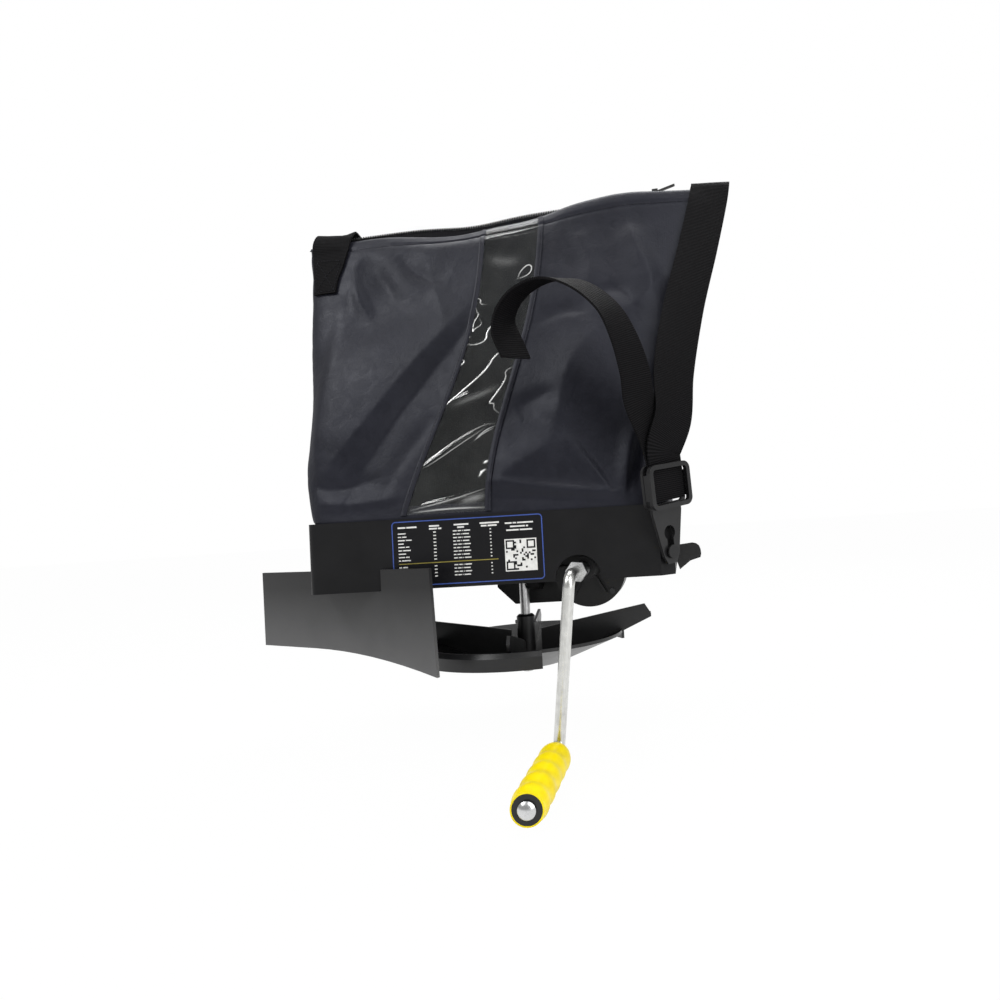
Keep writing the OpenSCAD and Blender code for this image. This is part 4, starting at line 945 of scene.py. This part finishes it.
# Strap routes, close to those in the part's source: place and outward normal.
BACK_RUN = (
    (18, 21, 0.74), (38, 21, 0.52), (68, 21, 0.34), (110, 21, 0.22), (160, 0, 0.17),
    (218, -21, 0.22), (272, -21, 0.34), (312, -21, 0.54), (348, -21, 0.76),
)
STRAP_ROUTE = [
    (on_front(-9, 19, 0.8, 1), (0, -1, 0.25)), (on_front(-8, 19, 0.88, 1), (0, -1, 0.25)),
    (on_front(-6, 19, 0.985, 1.5), (0, -1, 0.2)), (over_zip(-4, -4), (0, -1, 1)),
    (over_zip(-2, 4), (0, 1, 1)), (on_back(3, 21, 0.985, 2.5), (0, 1, 0.2)),
    *((on_back(*place), (0, 1, 0.27)) for place in BACK_RUN), (on_back(376, -21, 0.985, 2.5), (0, 1, 0.2)),
    (over_zip(381, 4), (0, 1, 1)), (over_zip(381, -4), (0, -1, 1)),
    (on_front(378, -21, 0.97, 1.5), (0, -1, 0.15)), ([364, -28, 302], (0, -1, 0.15)),
    ([345, -52, 233], (0.15, -0.98, 0.15)), ([333, -78, 170], (0.4, -0.9, 0.12)),
    ([330, -94, 128], (0.6, -0.8, 0.06)), (on_hanger(88, 4.4), HANGER_FACE),
    (on_hanger(73, 3.6), HANGER_FACE), (on_hanger(45, 3.6), HANGER_FACE),
]
TAIL_ROUTE = [
    (on_hanger(45, 1.3), HANGER_FACE), (on_hanger(78, 1.3), HANGER_FACE),
    ([313, -103, 112], (0.72, -0.68, 0.1)), ([303, -111, 140], (0.72, -0.66, 0.15)),
    ([301, -118, 163], (0.74, -0.64, 0.2)), ([293, -125, 194], (0.74, -0.58, 0.34)),
    ([281, -131, 217], (0.58, -0.54, 0.64)), ([258, -135, 235], (0.25, -0.45, 0.86)),
    ([232, -135, 240], (-0.12, -0.24, 0.96)), ([209, -132, 231], (-0.62, -0.06, 0.78)),
    ([197, -129, 215], (-0.93, 0.14, 0.3)), ([197, -127, 200], (-0.9, 0.4, -0.05)),
    ([201, -126, 188], (-0.88, 0.44, -0.15)), ([204, -126, 180], (-0.88, 0.44, -0.15)),
]


def make_stitches(name, rows, pitch=3.2, dash=2.1, thick=0.55):
    """Sewn rows: one dash is shaped from a cube, then laid along each row of places."""
    bpy.ops.mesh.primitive_cube_add(size=MM)
    one = named(name + "_dash")
    edit(one, "EDGE")
    choose_all()
    bpy.ops.mesh.bevel(offset=0.00032, segments=1)
    leave()
    corner = np.array([v.co for v in one.data.vertices]) * (dash, thick, thick)
    faces = [tuple(face.vertices) for face in one.data.polygons]
    bpy.data.objects.remove(one)
    spots, skins = [], []
    for row, out in rows:
        row = np.array(row, float) * MM
        done = walked(row)
        at = np.arange(pitch * MM / 2, done[-1] - dash * MM / 2, pitch * MM)
        for here, ahead in zip(along_line(row, done, at), along_line(row, done, at + 0.8 * MM)):
            run = Vector(ahead - here).normalized()
            side = Vector(out).normalized().cross(run).normalized()
            turn = np.array(Matrix((run, side, run.cross(side))).transposed())
            first = len(spots) * len(corner)
            spots.append(corner @ turn.T + here)
            skins.extend(tuple(first + k for k in face) for face in faces)
    mesh = bpy.data.meshes.new(name)
    mesh.from_pydata([tuple(p) for p in np.concatenate(spots)], [], skins)
    mesh.uv_layers.new(name="UVMap")
    piece = put_in(name, mesh)
    outward(piece)
    return smooth(piece, 60)


def zip_dip(x):
    """The soft chain hangs a little where the front edge sags, clear of the slider's two ends."""
    return -4.5 * np.exp(-(((x - 138) / 40.0) ** 2))


def make_zipper():
    """Tape either side of the line, and two rows of teeth that mesh along it."""
    lean, rise = math.cos(ZIP_LEAN), math.sin(ZIP_LEAN)
    tapes, rows = [], []
    for side in (-1, 1):
        tape, along, down = cloth_grid("zip_tape", 120, 5)
        run = (along - 0.5) * ZIP_LEN
        x = BAG_TOP_X + run * lean
        z = BAG_FOOT + BAG_HEIGHT + 0.8 + run * rise - ZIP_TAPE_W * down + zip_dip(x)
        y = side * (0.9 + 1.6 * down ** 1.5 + 0.25 * np.sin(run / 9.0) * down)
        lay(tape, x, y, z)
        size_uv(tape, ZIP_LEN * MM, ZIP_TAPE_W * MM)
        tapes.append(cover(thicken(tape, ZIP_TAPE_T, 60), ZIP_TAPE))
        bpy.ops.mesh.primitive_cube_add(size=MM)
        tooth = named("zip_tooth")
        tooth.scale = TOOTH_SIZE
        fix_place(tooth)
        choose_faces(tooth, lambda face: face.normal.y * side > 0.9)
        bpy.ops.transform.resize(value=(0.62, 1.0, 0.8))
        choose_all()
        bpy.ops.mesh.select_mode(type="EDGE")
        bpy.ops.mesh.bevel(offset=0.00025, segments=1)
        leave()
        start = -0.5 * ZIP_LEN + 3.0 + (TOOTH_PITCH / 2 if side > 0 else 0)
        tooth.location = ((BAG_TOP_X + start * lean) * MM, -side * 0.0008,
                          (BAG_FOOT + BAG_HEIGHT + 2.2 + start * rise) * MM)
        tooth.rotation_euler = (0, -ZIP_LEAN, 0)
        fix_place(tooth)
        work(tooth, "ARRAY", count=int((ZIP_LEN - 8) / TOOTH_PITCH), use_relative_offset=False,
             use_constant_offset=True,
             constant_offset_displace=(TOOTH_PITCH * lean * MM, 0, TOOTH_PITCH * rise * MM))
        for point in tooth.data.vertices:
            point.co.z += MM * zip_dip(1000 * point.co.x)
        rows.append(cover(smooth(tooth, 40), ZIP_BLACK))
    return join("zip_tapes", tapes), join("zip_teeth", rows)


def make_label():
    """Settings label on the front wall: dark film with rounded corners and a border."""
    plate = wall_plate("label_film", (LABEL_LEFT + LABEL_RIGHT) / 2, LABEL_FACE, (LABEL_LOW + LABEL_HIGH) / 2,
                       LABEL_RIGHT - LABEL_LEFT, LABEL_HIGH - LABEL_LOW)
    edit(plate, "VERT")
    choose_all()
    bpy.ops.mesh.bevel(offset=LABEL_CORNER * MM, segments=6, affect="VERTICES")
    choose_all()
    bpy.ops.mesh.select_mode(type="FACE")
    bpy.ops.mesh.inset(thickness=LABEL_BORDER * MM, depth=0)
    leave()
    cover(plate, LABEL_BLUE)
    cover(plate, LABEL_BLACK)
    for face in plate.data.polygons:
        face.material_index = int(face.select)
    return work(plate, "SOLIDIFY", thickness=LABEL_T * MM, offset=1.0)


# Print on the label, in millimetres.
ROW_TOP, ROW_PITCH, ROWS, RULE_ROW = 41.0, 2.95, 14, 9
HEAD_HIGH, NOTE_HIGH, WORD_HIGH, WORD_GAP = 1.35, 1.25, 0.95, 0.9
NOTE_TOP, NOTE_PITCH = 45.0, 3.1
SQUARE_X, SQUARE_Z, SQUARE_SIZE, SQUARE_MARGIN, SQUARE_CELLS = 191.0, 17.0, 28.0, 1.0, 17
CORNER_CELLS, CORNERS = 5, ((0, 0), (0, 12), (12, 12))
HEADINGS = (
    (83, 46.2, (7, 9)), (111, 46.4, (9,)), (111, 44.0, (7, 3)), (133, 46.4, (13,)),
    (136, 44.0, (6,)), (156, 46.4, (17,)), (157, 44.0, (5, 8)),
)


def make_print():
    """Bars in place of words, a rule in one row's place, and a pale square of plain blocks."""
    blocks = []
    cell = (SQUARE_SIZE - 2 * SQUARE_MARGIN) / SQUARE_CELLS
    corner_x = SQUARE_X - SQUARE_SIZE / 2 + SQUARE_MARGIN
    corner_z = SQUARE_Z - SQUARE_SIZE / 2 + SQUARE_MARGIN

    def block(x, z, wide, high, finish, layer=0):
        bar = wall_plate("print_bar", x, PRINT_FACE - layer * PRINT_LAYER, z, wide, high)
        blocks.append(cover(bar, finish))

    def words(x, level, high, sizes):
        for size in sizes:
            block(x + size / 2, level, size, high, LABEL_WHITE)
            x += size + WORD_GAP

    def cells(column, row, size, finish, layer):
        block(corner_x + column * cell, corner_z + row * cell, size * cell, size * cell, finish, layer)

    for x, level, sizes in HEADINGS:
        words(x, level, HEAD_HIGH, sizes)
    for row in range(ROWS):
        level = ROW_TOP - row * ROW_PITCH
        if row == RULE_ROW:
            block(127.0, level, 88.0, 0.7, LABEL_GOLD)
            continue
        first = 4.0 + 2.2 * math.sin(3.7 * row)
        words(83, level, WORD_HIGH, (first, 5.5 + 2.5 * math.cos(2.3 * row)) if row % 3 else (first + 3,))
        words(114.5, level, WORD_HIGH, (2.4,))
        words(132, level, WORD_HIGH, (2.2 if row % 2 else 3.4, 3.0, 0.6, 5.6))
        words(164.5, level, WORD_HIGH, (1.3,))
    for row, sizes in enumerate(((6, 3, 14), (13, 2), (11, 11))):
        left = SQUARE_X - (sum(sizes) + WORD_GAP * len(sizes)) / 2
        words(left, NOTE_TOP - row * NOTE_PITCH, NOTE_HIGH, sizes)
    block(SQUARE_X, SQUARE_Z, SQUARE_SIZE, SQUARE_SIZE, LABEL_WHITE)
    for row in range(SQUARE_CELLS):
        for column in range(SQUARE_CELLS):
            corner = all(k < CORNER_CELLS or k >= SQUARE_CELLS - CORNER_CELLS for k in (row, column))
            if not corner and noise.cell(Vector((row + 0.5, column + 0.5, 3.5))) > 0.5:
                cells(column + 0.5, row + 0.5, 1, LABEL_BLACK, 1)
    for size, finish, layer in ((CORNER_CELLS, LABEL_BLACK, 1), (3.2, LABEL_WHITE, 2)):
        for column, row in CORNERS:
            cells(column + CORNER_CELLS / 2, row + CORNER_CELLS / 2, size, finish, layer)
    printing = join("label_print", blocks)
    return work(printing, "SOLIDIFY", thickness=PRINT_T * MM, offset=1.0)


# The dial's figures: how many, first angle and step in degrees, then sizes in metres.
FIGURES, FIGURE_START, FIGURE_STEP = 9, 208, 29.5
FIGURE_HIGH, FIGURE_GAP, FIGURE_T = 0.0062, 0.0042, 0.00012


def make_dial_figures():
    """Numbers for the gate's dial, on the back wall round its knob."""
    low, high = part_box("dial_knob")
    centre = (low + high) / 2
    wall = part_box("hopper_pan")[1].y + 0.0001
    reach = (high.x - low.x) / 2 + FIGURE_GAP
    marks = []
    for k in range(FIGURES):
        turn = math.radians(FIGURE_START - k * FIGURE_STEP)
        place = (centre.x - reach * math.cos(turn), wall, centre.z + reach * math.sin(turn))
        bpy.ops.object.text_add(location=place, rotation=(math.pi / 2, 0, math.pi))
        text = bpy.context.object.data
        text.body = str(k + 1)
        text.size, text.extrude = FIGURE_HIGH, FIGURE_T
        text.align_x = text.align_y = "CENTER"
        bpy.ops.object.convert(target="MESH")
        marks.append(cover(fix_place(named("dial_figure")), LABEL_WHITE))
    return join("dial_figures", marks)


def front_row(x, z, out):
    y, z = follow_top(x, front_place(x, z, out), z)
    return np.stack([x, y, z], 1)


def sewn_row(at, steps, shares):
    """Places on the strap's sewn end, by steps along its line and shares of its half width."""
    steps = np.linspace(*steps, SEWN_PLACES).astype(int)
    shares = np.linspace(*shares, SEWN_PLACES)
    run = np.gradient(at, axis=0)[steps]
    across = np.stack([-run[:, 2], run[:, 0]], 1)
    across = across / np.hypot(*across.T)[:, None] * (shares * (10.0 + 0.12 * steps))[:, None]
    x, z = at[steps, 0] + across[:, 0], at[steps, 2] + across[:, 1]
    return np.stack([x, front_place(x, z, BOX_OUT), z], 1)


# Sewing, in millimetres: the hem's rows stop beside the window, and a boxed cross holds the strap's end.
HEM_ENDS, HEM_GAP = (-22, 378), (147, 212)
HEM_PLACES, EDGE_PLACES, SEWN_PLACES, SEWN_STEPS = 200, 140, 12, 40
EDGE_LOW, EDGE_HIGH, EDGE_IN = 62, 336, 1.2
SEWN_BOX = (
    ((2, 26), (-1, -1)), ((2, 26), (1, 1)), ((2, 2), (-1, 1)), ((26, 26), (-1, 1)),
    ((2, 26), (-1, 1)), ((2, 26), (1, -1)),
)


def sewn_rows():
    """Rows of places for the stitches, each with the way that its cloth faces."""
    rows = []
    hem_x = np.linspace(*HEM_ENDS, HEM_PLACES)
    for x in (hem_x[hem_x < HEM_GAP[0]], hem_x[hem_x > HEM_GAP[1]]):
        rows.append((front_row(x, bag_level(x, 1.0) - HEM_DROP, HEM_OUT), (0, -1, 0.1)))
    z = np.linspace(EDGE_LOW, EDGE_HIGH, EDGE_PLACES)
    for edge, inward in ((LEFT_EDGE, 1), (RIGHT_EDGE, -1)):
        rows.append((front_row(np.polyval(edge, z) - inward * EDGE_IN, z, EDGE_OUT), (0, -1, 0.1)))
    at = smooth_route(STRAP_ROUTE[:3], SEWN_STEPS)[0]
    rows.extend((sewn_row(at, steps, shares), (0, -1, 0.2)) for steps, shares in SEWN_BOX)
    return rows


# Pieces

bag = cover(make_bag(), BAG_NYLON)
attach(bag, "hopper")
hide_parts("bag")

window = cover(make_window(), WINDOW_VINYL)
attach(window, "hopper")
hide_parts("bag_window")

for side_name, edge, inward in (("left", LEFT_EDGE, 1), ("right", RIGHT_EDGE, -1)):
    binding = cover(make_binding("window_binding_" + side_name, edge, inward), TAPE_NYLON)
    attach(binding, "hopper")

zip_tape, zip_teeth = make_zipper()
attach(zip_tape, "hopper")
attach(zip_teeth, "hopper")
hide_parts("zipper_chain")

STRAPS = (
    ("strap_webbing", "shoulder_strap", STRAP_ROUTE, 420, SEWN_W),
    ("strap_tail_webbing", "strap_tail", TAIL_ROUTE, 160, None),
)
for name, node_name, route, steps, sewn_w in STRAPS:
    strap = cover(make_webbing(name, route, steps, sewn_w), WEBBING)
    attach(strap, "hopper")
    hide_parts(node_name)

seams = cover(make_stitches("bag_stitches", sewn_rows()), THREAD)
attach(seams, "hopper")

for printed in (make_label(), make_print(), make_dial_figures()):
    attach(printed, "hopper")


# Floor, light and camera

# How much of the floor's look is plain white, and the strength of the world's light on the object.
FLOOR_WHITE, WORLD_LIGHT = 0.985, 0.36


def make_floor():
    bpy.ops.mesh.primitive_plane_add(size=60, location=(0, 20, FLOOR_Z))
    floor = fix_place(named("floor"))
    finish, skin = new_finish("floor_pale", {"Base Color": (0.86, 0.86, 0.86, 1), "Roughness": 0.9})
    glow = add_node(skin, "Emission")
    mix = add_node(skin, "MixShader")
    set_up(glow, {"Color": (1, 1, 1, 1), "Strength": 1.0})
    ray = add_node(skin, "LightPath")
    seen = both(both(ray.outputs["Is Camera Ray"], ray.outputs["Is Glossy Ray"], "MAXIMUM"),
                ray.outputs["Is Transmission Ray"], "MAXIMUM")
    wire(both(seen, FLOOR_WHITE), mix, "Fac")
    wire(skin.outputs["BSDF"], mix, 1)
    wire(glow.outputs["Emission"], mix, 2)
    wire(mix.outputs["Shader"], finish.node_tree.nodes["Material Output"], "Surface")
    cover(floor, finish)


def make_sky():
    world = bpy.data.worlds.new("studio")
    world.use_nodes = True
    scene.world = world
    back = world.node_tree.nodes["Background"]
    set_up(back, {"Color": (1, 1, 1, 1)})
    ray = add_node(back, "LightPath")
    seen = both(ray.outputs["Is Camera Ray"], ray.outputs["Is Transmission Ray"], "MAXIMUM")
    wire(span(seen, WORLD_LIGHT, 1.0), back, "Strength")


def add_lamp(name, place, aim, size, power):
    lamp = bpy.data.lights.new(name, "AREA")
    lamp.shape = "RECTANGLE"
    lamp.size, lamp.size_y = size
    lamp.energy = power
    holder = put_in(name, lamp)
    holder.location = place
    holder.rotation_euler = (Vector(aim) - Vector(place)).to_track_quat("-Z", "Y").to_euler()


def add_camera():
    eye = bpy.data.cameras.new("photo_camera")
    eye.sensor_width = 36.0
    eye.lens = CAMERA_LENS
    eye.shift_x = CAMERA_SHIFT
    eye.clip_start = 0.01
    holder = put_in("photo_camera", eye)
    turn = (Matrix.Rotation(CAMERA_YAW, 3, "Z") @ Matrix.Rotation(CAMERA_PITCH, 3, "X")
            @ Matrix.Rotation(CAMERA_ROLL, 3, "Y"))
    right, ahead, up = turn.col
    frame_turn = Matrix((right, up, -ahead)).transposed()
    holder.matrix_world = Matrix.Translation(CAMERA_AT) @ frame_turn.to_4x4()
    scene.camera = holder


make_floor()
make_sky()
add_lamp("key_right", (0.85, -1.05, 1.25), (0.18, -0.05, 0.15), (0.8, 0.8), 7)
add_lamp("soft_left", (-0.95, -0.85, 1.35), (0.16, -0.05, 0.12), (0.7, 0.7), 14)
add_lamp("fill_right", (1.25, -0.95, 0.45), (0.18, -0.05, 0.05), (0.7, 0.9), 7)
add_lamp("top", (0.15, 0.25, 1.5), (0.15, 0.0, 0.1), (1.1, 0.8), 13)
add_lamp("soft_back", (0.75, 1.05, 1.70), (0.16, 0.08, 0.15), (0.9, 0.9), 16)
add_camera()
